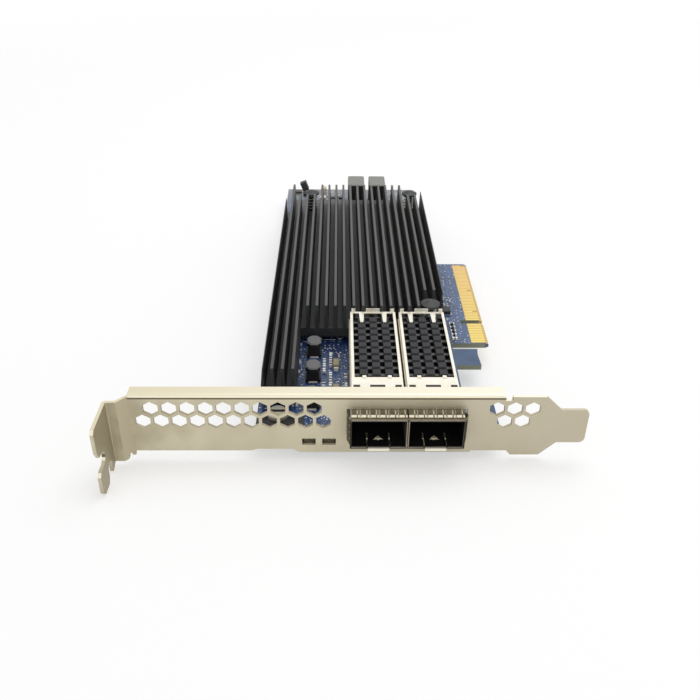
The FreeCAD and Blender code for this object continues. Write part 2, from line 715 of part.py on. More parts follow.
vent_row("VentLow", size.vent_first, size.vent_low, size.vent_count)
vent_row("VentHigh", size.vent_first + size.vent_pitch / 2, size.vent_low + row_rise,
         size.vent_count - 1)
vent_row("VentLowRight", size.vent_right, size.vent_low, 2)
vent_row("VentHighRight", size.vent_right - size.vent_pitch / 2, size.vent_low + row_rise, 3)
place(bracket, tab_plane, face_plane, lower_edge)
node("bracket", bracket)

# Circuit board
board = new_body("BoardBody")
foot_slope = size.connector_slit / 9
connector_near = -size.contact_key_gap - size.contact_pitch * (size.contacts_near - 1)
connector_near = connector_near - size.connector_margin
connector_far = size.contact_key_gap + size.contact_pitch * (size.contacts_far - 1)
connector_far = connector_far + size.connector_margin + size.contact_pitch / 2
foot_back = -size.foot_far
board_outline = [
    (-size.board_left, board_front),
    (-size.ear_reach, board_front),
    (-size.ear_reach, board_front + size.ear_length),
    (-size.connector_depth, board_front + size.ear_length),
    (-size.connector_depth, -size.foot_near),
    (-size.foot_reach, -size.foot_near),
    (-size.foot_reach - foot_slope, foot_back - size.connector_slit),
    (-size.foot_reach, foot_back),
    (-size.connector_depth, foot_back),
    (-size.connector_depth, connector_near),
    (0, connector_near),
    (0, connector_far),
    (-size.board_right, connector_far),
    (-size.board_right, board_rear),
    (-size.board_left, board_rear),
]
pad(board, "Laminate", "XY_Plane", [board_outline], board_under, 0)
key_outline = rectangle(-size.key_depth, 1, -size.key_width / 2, size.key_width / 2)
cut(board, "Key", "XY_Plane", [key_outline], board_under - 1, 1)
bevel_run = -size.contact_setback
upper_bevel = [(bevel_run, 0), (0, -size.connector_bevel), (1, -size.connector_bevel),
               (1, 1), (bevel_run, 1)]
lower_bevel = [(bevel_run, board_under), (0, board_under + size.connector_bevel),
               (1, board_under + size.connector_bevel), (1, board_under - 1),
               (bevel_run, board_under - 1)]
cut(board, "TipBevels", "XZ_Plane", [upper_bevel, lower_bevel],
    connector_near - 1, connector_far + 1)
rear_pins = sink_rear - size.rear_pin_inset
pin_places = [
    (sink_right - size.right_pin_side, sink_front + size.front_pin_inset),
    (sink_right - size.right_pin_side, rear_pins),
    (sink_left + size.left_pin_side, rear_pins),
]
screw_places = [
    (tab_plane + size.lug_left, face_plane + size.lug_screw),
    (tab_plane + size.lug_right, face_plane + size.lug_screw),
]
board_holes = [(p, size.shaft_radius + size.shaft_gap) for p in pin_places]
board_holes += [(p, size.screw_radius + size.screw_gap) for p in screw_places]
cut(board, "PinAndScrewHoles", "XY_Plane", [], board_under - 1, 1, board_holes)
ports_x = tab_plane + size.ports_middle
left_port = ports_x - size.port_pitch / 2
right_port = ports_x + size.port_pitch / 2
wall_middle = (size.cage_width - size.cage_wall) / 2
leg_slot_half_x = size.cage_wall / 2 + size.leg_gap
leg_slot_half_y = size.leg_width / 2 + size.leg_gap
leg_slots = []
for wall_x in (left_port - wall_middle, right_port + wall_middle):
    leg_slots.append(rectangle(wall_x - leg_slot_half_x, wall_x + leg_slot_half_x,
                               nose + size.leg_first - leg_slot_half_y,
                               nose + size.leg_first + leg_slot_half_y))
leg_slots.append(rectangle(left_port + wall_middle - leg_slot_half_x,
                           right_port - wall_middle + leg_slot_half_x,
                           nose + size.leg_first - leg_slot_half_y,
                           nose + size.leg_first + leg_slot_half_y))
leg_holes = cut(board, "LegSlots", "XY_Plane", leg_slots, board_under - 1, 1)
repeat(board, "LegSlotRows", leg_holes, "Y_Axis", size.leg_pitch, size.leg_count)
node("circuit_board", board)

def turned(body, name, profile):
    """A closed (radius, height) profile turned about the body's upright axis."""
    item = plane_sketch(body, name + "_profile", "XZ_Plane", 0)
    draw_outline(item, profile)
    feature = body.newObject("PartDesign::Revolution", name)
    feature.Profile = item
    axis = [f for f in body.Origin.OriginFeatures if f.Role == "Z_Axis"][0]
    feature.ReferenceAxis = (axis, [""])
    feature.Angle = 360
    return feature


# Bracket screws: pan heads on the board, shanks down into the lugs
shank_end = board_under - size.sheet * 2
head_side = size.screw_head_height / 2
screw_profile = [
    (0, shank_end),
    (size.screw_radius, shank_end),
    (size.screw_radius, 0),
    (size.screw_head_radius, 0),
    (size.screw_head_radius, head_side),
    (size.screw_head_radius - head_side, size.screw_head_height),
    (0, size.screw_head_height),
]
screws = []
for number, (x, y) in enumerate(screw_places, start=1):
    screw = new_body("Screw%d" % number)
    turned(screw, "ScrewTurned%d" % number, screw_profile)
    place(screw, x, y, 0)
    screws.append(screw)
group("bracket_screws", screws)


# Edge contacts: gold pads on both faces, in two runs either side of the key
contacts = new_body("ContactsBody")
contacts.AllowCompound = True
tip_clear = -size.contact_setback
near_first = -size.contact_key_gap
pad_half = size.contact_width / 2
pad_back = tip_clear - size.contact_length
faces = (("Top", as_size(0), size.contact_thickness),
         ("Under", board_under - size.contact_thickness, board_under))
for face_name, low, high in faces:
    far_pad = rectangle(pad_back, tip_clear, size.contact_key_gap - pad_half,
                        size.contact_key_gap + pad_half)
    run_start = near_first - size.contact_pitch * (size.contacts_near - 1)
    near_pad = rectangle(pad_back, tip_clear, run_start - pad_half, run_start + pad_half)
    one = pad(contacts, "Far" + face_name, "XY_Plane", [far_pad], low, high)
    repeat(contacts, "Far%sRun" % face_name, one, "Y_Axis", size.contact_pitch,
           size.contacts_far)
    one = pad(contacts, "Near" + face_name, "XY_Plane", [near_pad], low, high)
    repeat(contacts, "Near%sRun" % face_name, one, "Y_Axis", size.contact_pitch,
           size.contacts_near)
short_end = tip_clear - size.contact_width * 2
sense_rows = [5, 19, 37]
short_outlines = []
for row in sense_rows:
    middle = size.contact_key_gap + size.contact_pitch * row
    short_outlines.append(rectangle(short_end, tip_clear + 1, middle - size.contact_pitch / 2,
                                    middle + size.contact_pitch / 2))
cut(contacts, "ShortSensePads", "XY_Plane", short_outlines, 0, 1)
first_under = near_first - size.contact_pitch * (size.contacts_near - 1)
under_outline = rectangle(short_end, tip_clear + 1, first_under - size.contact_pitch / 2,
                          first_under + size.contact_pitch / 2)
cut(contacts, "ShortSensePadUnder", "XY_Plane", [under_outline], board_under - 1, board_under)
node("edge_contacts", contacts)

# Heat sink: a base, twenty tapered fins, and clearances round the push pins
sink = new_body("SinkBody")
arm_right = -size.first_fin + size.fin_pitch * (size.arm_fins - 1) + size.fin_root / 2
base_outline = [
    (sink_left, arm_front),
    (arm_right, arm_front),
    (arm_right, sink_front),
    (sink_right, sink_front),
    (sink_right, sink_rear - size.right_base_cut),
    (sink_right - size.right_base_notch, sink_rear - size.right_base_cut),
    (sink_right - size.right_base_notch, sink_rear),
    (sink_left + size.left_base_notch, sink_rear),
    (sink_left + size.left_base_notch, sink_rear - size.left_base_cut),
    (sink_left, sink_rear - size.left_base_cut),
]
pad(sink, "Base", "XY_Plane", [base_outline], size.sink_gap, sink_floor)
fin_outline = [
    (-size.first_fin - size.fin_root / 2, sink_floor),
    (-size.first_fin + size.fin_root / 2, sink_floor),
    (-size.first_fin + size.fin_top / 2, fins_top),
    (-size.first_fin - size.fin_top / 2, fins_top),
]
fin = pad(sink, "Fin", "XZ_Plane", [fin_outline], arm_front, fins_rear)
repeat(sink, "Fins", fin, "X_Axis", size.fin_pitch, size.fin_count)
left_wedge = [
    (sink_left - 1, sink_floor),
    (sink_left, sink_floor),
    (sink_left + size.outer_fin_lean, fins_top),
    (sink_left + size.outer_fin_lean, fins_top + 1),
    (sink_left - 1, fins_top + 1),
]
right_wedge = [
    (sink_right + 1, sink_floor),
    (sink_right, sink_floor),
    (sink_right - size.outer_fin_lean, fins_top),
    (sink_right - size.outer_fin_lean, fins_top + 1),
    (sink_right + 1, fins_top + 1),
]
cut(sink, "OuterFaces", "XZ_Plane", [left_wedge, right_wedge],
    arm_front - 1, fins_rear + 1)
beyond_arm = rectangle(arm_right, sink_right + 1, arm_front - 1, sink_front)
cut(sink, "BesideArm", "XY_Plane", [beyond_arm], size.sink_gap - 1, fins_top + 1)
gap_before_18 = last_fin - size.fin_pitch * 2.5
cut_start = fins_rear - size.rear_cut
front_ear = rectangle(gap_before_18, sink_right + 1, sink_front - 1,
                      sink_front + size.front_cut)
gap_before_20 = last_fin - size.fin_pitch / 2
rear_ear = rectangle(gap_before_18, gap_before_20, cut_start, fins_rear + 1)
last_cut = rectangle(gap_before_20, sink_right + 1, fins_rear - size.last_fin_cut,
                     fins_rear + 1)
gap_before_3 = -size.first_fin + size.fin_pitch * 1.5
gap_after_5 = -size.first_fin + size.fin_pitch * 4.5
left_ear = rectangle(gap_before_3, gap_after_5, cut_start, fins_rear + 1)
left_fin = rectangle(sink_left - 1, sink_left + size.fin_pitch / 2 + size.fin_root / 2,
                     fins_rear - size.left_fin_cut, fins_rear + 1)
cut(sink, "PinClearances", "XY_Plane", [front_ear, rear_ear, left_ear],
    sink_floor, fins_top + 1)
cut(sink, "EndFins", "XY_Plane", [last_cut, left_fin], sink_floor, fins_top + 1)
sink_holes = [(p, size.shaft_radius + size.sink_hole_gap) for p in pin_places]
cut(sink, "PinHoles", "XY_Plane", [], size.sink_gap - 1, sink_floor + 1, sink_holes)
node("heat_sink", sink)

# Push pins and the springs under their heads
rim_top = size.head_height + size.head_rim
crown_top = rim_top + size.head_crown
barb_top = board_under
pin_profile = [
    (0, barb_top - size.barb_length),
    (size.shaft_radius / 2, barb_top - size.barb_length),
    (size.barb_radius, barb_top),
    (size.shaft_radius, barb_top),
    (size.shaft_radius, size.head_height),
    (size.head_radius, size.head_height),
    (size.head_radius, rim_top),
    (0, crown_top),
]
wire = size.wire_radius * 2
spring_free = size.head_height - sink_floor
pins = []
springs = []
for number, (x, y) in enumerate(pin_places, start=1):
    pin = new_body("PinBody%d" % number)
    turned(pin, "PinTurned%d" % number, pin_profile)
    place(pin, x, y, 0)
    pins.append(pin)
    spring = new_body("SpringBody%d" % number)
    coil = plane_sketch(spring, "Wire%d" % number, "XZ_Plane", 0)
    draw_outline(coil, [(size.spring_radius - size.wire_radius, size.wire_radius),
                        (size.spring_radius + size.wire_radius, 0),
                        (size.spring_radius + size.wire_radius, wire)])
    winding = spring.newObject("PartDesign::AdditiveHelix", "Winding%d" % number)
    winding.Profile = coil
    upright = [f for f in spring.Origin.OriginFeatures if f.Role == "Z_Axis"][0]
    winding.ReferenceAxis = (upright, [""])
    winding.Mode = "height-turns-angle"
    bind(winding, "Height", spring_free - wire)
    bind(winding, "Turns", size.spring_turns)
    place(spring, x, y, sink_floor)
    springs.append(spring)
group("push_pins", pins)
group("pin_springs", springs)

# Controller, its pad, and the memory beside it, all under the heat sink
chip_x = (sink_left + sink_right) / 2
chip_y = size.chip_beyond_key
lid_height = size.sink_gap - size.pad_thickness - size.chip_substrate
substrate = centred_block("Substrate", chip_x, chip_y, 0, size.chip_size, size.chip_size,
                          size.chip_substrate)
lid = centred_block("Lid", chip_x, chip_y, size.chip_substrate, size.lid_size,
                    size.lid_size, lid_height)
node("network_controller", fused("Controller", [substrate, lid]))
node("thermal_pad", centred_block("ThermalPad", chip_x, chip_y,
                                  size.sink_gap - size.pad_thickness,
                                  size.lid_size, size.lid_size, size.pad_thickness))
memory = []
memory_pads = []
for row in range(4):
    y = chip_y - size.memory_pitch * 1.5 + size.memory_pitch * row
    x = chip_x - size.chip_size / 2 - size.memory_width * 0.65
    memory.append(centred_block("Memory%d" % row, x, y, 0, size.memory_width,
                                size.memory_length, size.memory_height))
    memory_pads.append(centred_block("MemoryPad%d" % row, x, y, size.memory_height,
                                     size.memory_width, size.memory_length,
                                     size.sink_gap - size.memory_height))
group("memory_chips", memory)
group("memory_pads", memory_pads)

# Ports: each is drawn about its own middle (x), from its nose (y) and from the board (z)
cage_half = size.cage_width / 2
cage_inner = cage_half - size.cage_wall
hole_half = size.cage_hole_width / 2
hole_end = size.cage_length - size.cage_hole_rear


def port_cage(name, port_x):
    cage = new_body("Cage" + name)
    pad(cage, "Shell" + name, "XZ_Plane",
        [rectangle(-cage_half, cage_half, 0, size.cage_height)], 0, size.cage_length)
    half = cage_half.value - 0.01
    rounded(cage, "ShellEdges" + name, size.cage_corner,
            lambda e: edge_at(e, ALONG_Y) and abs(e.Vertexes[0].X) > half)
    cut(cage, "Bore" + name, "XZ_Plane",
        [rectangle(-cage_inner, cage_inner, size.cage_wall,
                   size.cage_height - size.cage_wall)],
        -1, size.cage_length - size.cage_wall)
    roof = [rectangle(-hole_half, hole_half, size.cage_hole_start, hole_end)]
    cut(cage, "RoofOpening" + name, "XY_Plane", roof,
        size.cage_height - size.cage_wall * 2, size.cage_height + 1)
    floor_half = cage_inner - size.cage_floor_margin
    latch_half = size.latch_width / 2
    eye = size.latch_eye * 0.75
    eye_front = size.latch_length - size.latch_eye * 1.5
    floor = [
        rectangle(-floor_half, floor_half, size.cage_floor_start,
                  size.cage_length - size.cage_wall * 2),
        rectangle(latch_half, latch_half + size.latch_slit, -1, size.latch_length),
        rectangle(-latch_half - size.latch_slit, -latch_half, -1, size.latch_length),
        [(-eye, eye_front), (eye, eye_front), (0, eye_front + size.latch_eye)],
    ]
    cut(cage, "FloorOpenings" + name, "XY_Plane", floor, -1, size.cage_wall * 2)
    pad(cage, "LatchLip" + name, "XY_Plane",
        [rectangle(-latch_half, latch_half, -size.cage_wall, 0)],
        -size.latch_lip, size.cage_wall)
    for side, start in (("Left", -cage_half), ("Right", cage_inner)):
        leg_outline = rectangle(start, start + size.cage_wall,
                                size.leg_first - size.leg_width / 2,
                                size.leg_first + size.leg_width / 2)
        leg = pad(cage, "Leg" + side + name, "XY_Plane", [leg_outline],
                  -size.leg_drop, size.cage_corner * 1.2)
        repeat(cage, "Legs" + side + name, leg, "Y_Axis", size.leg_pitch, size.leg_count)
    place(cage, port_x, nose, 0)
    return cage


foot_half = hole_half - size.riding_gap
lap_half = hole_half + size.riding_lap
roof_top = size.cage_height
flange_top = roof_top + size.riding_flange
pins_top = flange_top + size.pin_height


def riding_sink(name, port_x):
    """A pin-fin sink whose foot reaches through the roof of the cage."""
    rider = new_body("Rider" + name)
    pad(rider, "Foot" + name, "XY_Plane",
        [rectangle(-foot_half, foot_half, size.cage_hole_start + size.riding_gap,
                   hole_end - size.riding_gap)],
        roof_top - size.riding_foot, flange_top)
    pad(rider, "RiderFlange" + name, "XY_Plane",
        [rectangle(-lap_half, lap_half, size.cage_hole_start - size.riding_lap,
                   hole_end + size.riding_lap)],
        roof_top, flange_top)
    valley = flange_top - size.pin_root
    basin_half = foot_half - size.cage_wall
    cut(rider, "Basin" + name, "XY_Plane",
        [rectangle(-basin_half, basin_half,
                   size.cage_hole_start + size.riding_gap + size.cage_wall,
                   hole_end - size.riding_gap - size.cage_wall)],
        valley, flange_top + 1)
    first_x = -size.pin_pitch * (size.pin_columns - 1) / 2
    first_y = size.cage_hole_start + size.pin_inset
    row_pitch = (hole_end - size.pin_inset - first_y) / (size.pin_rows - 1)
    across = size.pin_size_across / 2
    along = size.pin_size_along / 2
    for column in range(int(size.pin_columns.value)):
        x = first_x + size.pin_pitch * column
        pin_outline = rectangle(x - across, x + across, first_y - along, first_y + along)
        one = pad(rider, "Pin%d%s" % (column, name), "XY_Plane", [pin_outline],
                  valley, pins_top)
        repeat(rider, "PinRow%d%s" % (column, name), one, "Y_Axis", row_pitch,
               size.pin_rows)
    place(rider, port_x, nose, 0)
    return rider


clip_half = lap_half + size.clip_gap + size.clip_sheet
clip_top = pins_top + size.clip_sheet
clip_end = size.cage_length + size.clip_overhang


def riding_clip(name, port_x):
    """A sprung frame over the riding sink: rails, teeth, rear tabs and front tabs."""
    clip = new_body("Clip" + name)
    pad(clip, "Channel" + name, "XY_Plane",
        [rectangle(-clip_half, clip_half, size.clip_start, clip_end)], roof_top, clip_top)
    inner = clip_half - size.clip_sheet
    cut(clip, "Underside" + name, "XY_Plane",
        [rectangle(-inner, inner, size.clip_start - 1, clip_end + 1)],
        roof_top - 1, clip_top - size.clip_sheet)
    window_half = clip_half - size.clip_rail
    window_end = clip_end - size.clip_rear_bar
    root = size.clip_tooth_width / 2
    tip = root * 0.6
    tooth = size.clip_tooth_place
    tooth_end = window_end - size.clip_tooth_length
    opening = [
        (-window_half, size.clip_start + size.clip_front_bar),
        (window_half, size.clip_start + size.clip_front_bar),
        (window_half, window_end),
        (tooth + root, window_end),
        (tooth + tip, tooth_end),
        (tooth - tip, tooth_end),
        (tooth - root, window_end),
        (root - tooth, window_end),
        (tip - tooth, tooth_end),
        (-tooth - tip, tooth_end),
        (-tooth - root, window_end),
        (-window_half, window_end),
    ]
    cut(clip, "Opening" + name, "XY_Plane", [opening], pins_top - 0.1, clip_top + 1)
    tab_half = size.clip_tab_width / 2
    edge_tab = size.clip_rail
    tabs = [
        rectangle(-tab_half, tab_half, clip_end - size.clip_sheet, clip_end),
        rectangle(clip_half - edge_tab * 2, clip_half - edge_tab / 2,
                  clip_end - size.clip_sheet, clip_end),
        rectangle(edge_tab / 2 - clip_half, edge_tab * 2 - clip_half,
                  clip_end - size.clip_sheet, clip_end),
    ]
    pad(clip, "RearTabs" + name, "XY_Plane", tabs, pins_top, clip_top + size.clip_tab_rise)
    bump_y = size.clip_start + size.clip_front_bar
    bumps = [rectangle(bump_x - size.clip_bump, bump_x + size.clip_bump,
                       bump_y - size.clip_bump, bump_y + size.clip_bump)
             for bump_x in (tooth, -tooth)]
    pad(clip, "FrontTabs" + name, "XY_Plane", bumps, pins_top, clip_top + size.clip_sheet)
    slot_y = size.clip_start + size.clip_slot_inset
    slot_half = size.clip_slot_length / 2
    slots = [rectangle(-size.clip_bar_slot / 2, size.clip_bar_slot / 2, slot_y,
                       slot_y + size.clip_slot / 2)]
    for slot_x in (size.clip_slot_place, -size.clip_slot_place):
        slots.append(rectangle(slot_x - slot_half, slot_x + slot_half, slot_y,
                               slot_y + size.clip_slot))
    cut(clip, "FrontSlots" + name, "XY_Plane", slots, pins_top - 0.1, clip_top + 1)
    place(clip, port_x, nose, 0)
    return clip


socket_back = size.cage_length - size.cage_wall - size.socket_back_gap
socket_front = socket_back - size.socket_depth
slot_low = size.socket_slot_level


def edge_socket(name, port_x):
    socket = new_body("Socket" + name)
    half = size.socket_width / 2
    slot_half = size.socket_slot_width / 2
    pad(socket, "Housing" + name, "XY_Plane",
        [rectangle(-half, half, socket_front, socket_back)], 0, size.socket_height)
    cut(socket, "CardSlot" + name, "XZ_Plane",
        [rectangle(-slot_half, slot_half, slot_low, slot_low + size.socket_slot)],
        socket_front - 1, socket_front + size.socket_slot_depth)
    place(socket, port_x, nose, 0)
    return socket


for name, port_x in (("left", left_port), ("right", right_port)):
    node("port_cage_" + name, port_cage(name.title(), port_x))
    node("port_heatsink_" + name, riding_sink(name.title(), port_x))
    node("heatsink_clip_" + name, riding_clip(name.title(), port_x))
    node("port_socket_" + name, edge_socket(name.title(), port_x))

# Spring collar round both noses, drawn about the middle of the two ports
collar = new_body("CollarBody")
pair_half = (size.port_pitch + size.cage_width) / 2
band_half = pair_half + size.collar_sheet
band_end = size.collar_start + size.collar_band
pad(collar, "Band", "XZ_Plane",
    [rectangle(-band_half, band_half, -size.collar_sheet,
               size.cage_height + size.collar_sheet)],
    size.collar_start, band_end)
cut(collar, "BandBore", "XZ_Plane", [rectangle(-pair_half, pair_half, 0, size.cage_height)],
    size.collar_start - 1, band_end + 1)


def finger_profile(level, sign):
    """The arch of a spring finger as (depth, distance out from the cage)."""
    strip = size.collar_sheet
    rise = size.finger_rise
    start = size.collar_start
    end = start + size.finger_length
    crest = start + size.finger_length * 0.74
    arch = [
        (start, strip),
        (band_end, strip),
        (crest, rise + strip),
        (end, rise * 0.6),
        (end, rise * 0.6 - strip),
        (crest, rise),
        (band_end, 0),
        (start, 0),
    ]
    return [(depth, level + out * sign) for depth, out in arch]


first_finger = -size.finger_pitch * (size.fingers_across - 1) / 2
for name, level, sign in (("Over", size.cage_height, 1), ("Below", as_size(0), -1)):
    finger = pad(collar, "Finger" + name, "YZ_Plane", [finger_profile(level, sign)],
                 first_finger - size.finger_across / 2, first_finger + size.finger_across / 2)
    repeat(collar, "Fingers" + name, finger, "X_Axis", size.finger_pitch,
           size.fingers_across)
first_side = size.cage_height / 2 - size.side_finger_pitch * (size.fingers_high - 1) / 2
for name, level, sign in (("LeftSide", -pair_half, -1), ("RightSide", pair_half, 1)):
    profile = [(out, depth) for depth, out in finger_profile(level, sign)]
    finger = pad(collar, "Finger" + name, "XY_Plane", [profile],
                 first_side - size.side_finger_across / 2,
                 first_side + size.side_finger_across / 2)
    repeat(collar, "Fingers" + name, finger, "Z_Axis", size.side_finger_pitch,
           size.fingers_high)
place(collar, ports_x, nose, 0)
node("port_gasket", collar)


def bevelled(body, name, reach, wanted):
    """A chamfer on the edges of the body that the test picks."""
    doc.recompute()
    base = body.Tip
    edges = base.Shape.Edges
    names = ["Edge%d" % (n + 1) for n in range(len(edges)) if wanted(edges[n])]
    if not names:
        raise RuntimeError("no edge found for " + name)
    feature = body.newObject("PartDesign::Chamfer", name)
    feature.Base = (base, names)
    bind(feature, "Size", reach)
    return feature


def above(edge, level):
    """Whether an edge lies wholly at or above a level."""
    return edge.BoundBox.ZMin > as_size(level).value - 1e-4


def drum_choke(name, x, y):
    """A drum choke: a foot, a set-back winding and a top plate with bevelled corners."""
    body = new_body(name)
    half_x = size.choke_width / 2
    half_y = size.choke_length / 2
    in_x = half_x - size.choke_waist
    in_y = half_y - size.choke_waist
    under_plate = size.choke_height - size.choke_plate
    pad(body, name + "Winding", "XY_Plane", [rectangle(-in_x, in_x, -in_y, in_y)],
        0, under_plate)
    pad(body, name + "Foot", "XY_Plane",
        [rectangle(-half_x, half_x, -in_y, in_y)], 0, size.choke_foot)
    flat_x = half_x - size.choke_corner
    flat_y = half_y - size.choke_corner
    plate = [
        (-flat_x, -half_y),
        (flat_x, -half_y),
        (half_x, -flat_y),
        (half_x, flat_y),
        (flat_x, half_y),
        (-flat_x, half_y),
        (-half_x, flat_y),
        (-half_x, -flat_y),
    ]
    pad(body, name + "Plate", "XY_Plane", [plate], under_plate, size.choke_height)
    bevelled(body, name + "PlateEdge", size.choke_edge,
             lambda e: above(e, size.choke_height))
    place(body, x, y, 0)
    return body


# Power parts between the ports and the bracket's vents
choke_x = tab_plane + size.choke_place
choke_y = face_plane + size.choke_first
chokes = [drum_choke("Choke%d" % (row + 1), choke_x, choke_y + size.choke_pitch * row)
          for row in range(3)]
group("power_chokes", chokes)
tantalums = []
tantalum_x = tab_plane + size.tantalum_place
for row in range(2):
    y = choke_y + size.choke_pitch * (row + 0.45)
    tantalums.append(centred_block("Tantalum%d" % (row + 1), tantalum_x, y, 0,
                                   size.tantalum_width, size.tantalum_length,
                                   size.tantalum_height))
group("tantalum_capacitors", tantalums)

# Rear power parts: bead inductors and the power stages behind them
beads = []
stages = []
bead_y = board_rear - size.bead_inset
for row in range(2):
    bead = new_body("Bead%d" % (row + 1))
    half_x = size.bead_width / 2
    half_y = size.bead_length / 2
    pad(bead, "BeadBlock%d" % (row + 1), "XY_Plane",
        [rectangle(-half_x, half_x, -half_y, half_y)], 0, size.bead_height)
    bevelled(bead, "BeadEdges%d" % (row + 1), size.bead_edge,
             lambda e: edge_at(e, ALONG_Z) or above(e, size.bead_height))
    bead_x = tab_plane + size.bead_place + size.bead_pitch * row
    place(bead, bead_x, bead_y, 0)
    beads.append(bead)
    stage_y = bead_y + size.bead_length / 2 + size.stage_gap + size.stage_size / 2
    stages.append(centred_block("Stage%d" % (row + 1), bead_x, stage_y, 0,
                                size.stage_size, size.stage_size, size.stage_height))
group("bead_inductors", beads)
group("power_stages", stages)

# Ceramic capacitors, in runs beside the parts they serve
capacitors = []


def capacitor_run(x, y, count, turned=False, gaps=1):
    """A row of like capacitors along the board, starting from the given place."""
    length_x, length_y = size.cap_width, size.cap_length
    if turned:
        length_x, length_y = length_y, length_x
    for step in range(count):
        name = "Capacitor%d" % (len(capacitors) + 1)
        step_y = y + (length_y + size.cap_gap * gaps) * step
        capacitors.append(centred_block(name, x, step_y, 0, length_x, length_y,
                                        size.cap_height))


logic_x = -size.logic_inset
logic_y = size.logic_place
choke_side = choke_x + size.choke_width / 2
capacitor_run(choke_side + size.cap_gap, choke_y + size.choke_pitch * 0.3, 3)
capacitor_run(choke_side + size.cap_gap, choke_y + size.choke_pitch * 1.25, 3)
capacitor_run(choke_side + size.cap_length * 1.7, choke_y + size.choke_pitch * 0.5, 4)
capacitor_run(choke_side + size.cap_length * 1.7, choke_y + size.choke_pitch * 1.5, 3)
capacitor_run(left_port - cage_half - size.cap_gap, choke_y, 4, gaps=3)
capacitor_run(logic_x + size.cap_gap, sink_front + size.cap_gap, 5, turned=True, gaps=1.5)
capacitor_run(tab_plane + size.bead_place - size.bead_width / 2 - size.cap_gap * 1.5,
              bead_y - size.bead_length / 2, 3)
capacitor_run(tab_plane + size.bead_place + size.bead_pitch + size.bead_width / 2
              + size.cap_gap * 1.5, bead_y - size.bead_length / 2, 3)
header_x = tab_plane + size.header_place
header_y = board_rear - size.header_inset
capacitor_run(header_x + size.header_width + size.cap_gap, header_y - size.header_length * 3,
              3, turned=True)
group("ceramic_capacitors", capacitors)
node("logic_chip", centred_block("LogicChip", logic_x, logic_y, 0, size.logic_width,
                                 size.logic_length, size.logic_height))

# Headers at the far left corner; the jumper cap sits askew on its pins
node("pin_header", centred_block("HeaderBlock", header_x, header_y, 0, size.header_width,
                                 size.header_length, size.header_height))
jumper = doc.addObject("Part::Box", "JumperCap")
bind(jumper, "Length", size.header_width)
bind(jumper, "Width", size.header_length)
bind(jumper, "Height", size.jumper_height)
jumper.Placement.Rotation = FreeCAD.Rotation(FreeCAD.Vector(0, -1, 0), size.jumper_lean.value)
place(jumper, header_x - size.header_width / 2, header_y - size.header_length / 2,
      size.header_height)
bind(jumper, "Placement.Rotation.Angle", size.jumper_lean)
node("jumper_cap", jumper)
wire_header = new_body("WireHeader")
wire_half = size.wire_header_width / 2
pad(wire_header, "WireBlock", "XY_Plane",
    [rectangle(-wire_half, wire_half, -wire_half, wire_half)], 0, size.wire_header_height)
bevelled(wire_header, "WireTop", size.choke_edge,
         lambda e: above(e, size.wire_header_height))
place(wire_header, tab_plane + size.wire_header_place, board_rear - size.wire_header_inset, 0)
node("wire_header", wire_header)

# Status lights hang under the board's front edge behind their slots
lamps = []
for number in range(2):
    x = tab_plane + size.light_first + size.light_pitch * number
    housing = block("Lamp%d" % (number + 1), x - size.lamp_width / 2, x + size.lamp_width / 2,
                    board_front, board_front + size.lamp_length,
                    board_under - size.lamp_height, board_under)
    lens = doc.addObject("Part::Cylinder", "Lens%d" % (number + 1))
    bind(lens, "Radius", size.lens_radius)
    bind(lens, "Height", size.board_front_gap / 2 + size.lamp_length / 2)
    lens.Placement.Rotation = FreeCAD.Rotation(FreeCAD.Vector(1, 0, 0), 90)
    place(lens, x, board_front + size.lamp_length / 2, board_under - size.lamp_height / 2)
    lamps.append(fused("StatusLight%d" % (number + 1), [housing, lens]))
group("status_lights", lamps)

# Decoupling capacitors on the solder side, in a grid under the controller
under_caps = []
for column in range(4):
    for row in range(5):
        name = "UnderCap%d" % (len(under_caps) + 1)
        x = chip_x + size.cap_length * 3 * (column - 1.5)
        y = chip_y + size.cap_length * 3 * (row - 2)
        under_caps.append(centred_block(name, x, y, board_under - size.cap_height,
                                        size.cap_length, size.cap_width, size.cap_height))
group("underside_capacitors", under_caps)

os.makedirs("parts", exist_ok=True)
doc.recompute()
for item in doc.Objects:
    if "Invalid" in item.State or "Error" in item.State:
        raise RuntimeError(item.Name + " did not build: " + ", ".join(item.State))
for piece in nodes:
    if piece.Shape.isNull() or not piece.Shape.isValid():
        raise RuntimeError(piece.Label + " has no sound shape")
for piece in nodes:
    piece.Shape.exportStep("parts/" + piece.Label + ".step")
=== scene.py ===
import json
import math
import random

import bmesh
import bpy
from bpy.props import FloatProperty, FloatVectorProperty, IntProperty, PointerProperty
from mathutils import Matrix, Vector
from mathutils.bvhtree import BVHTree


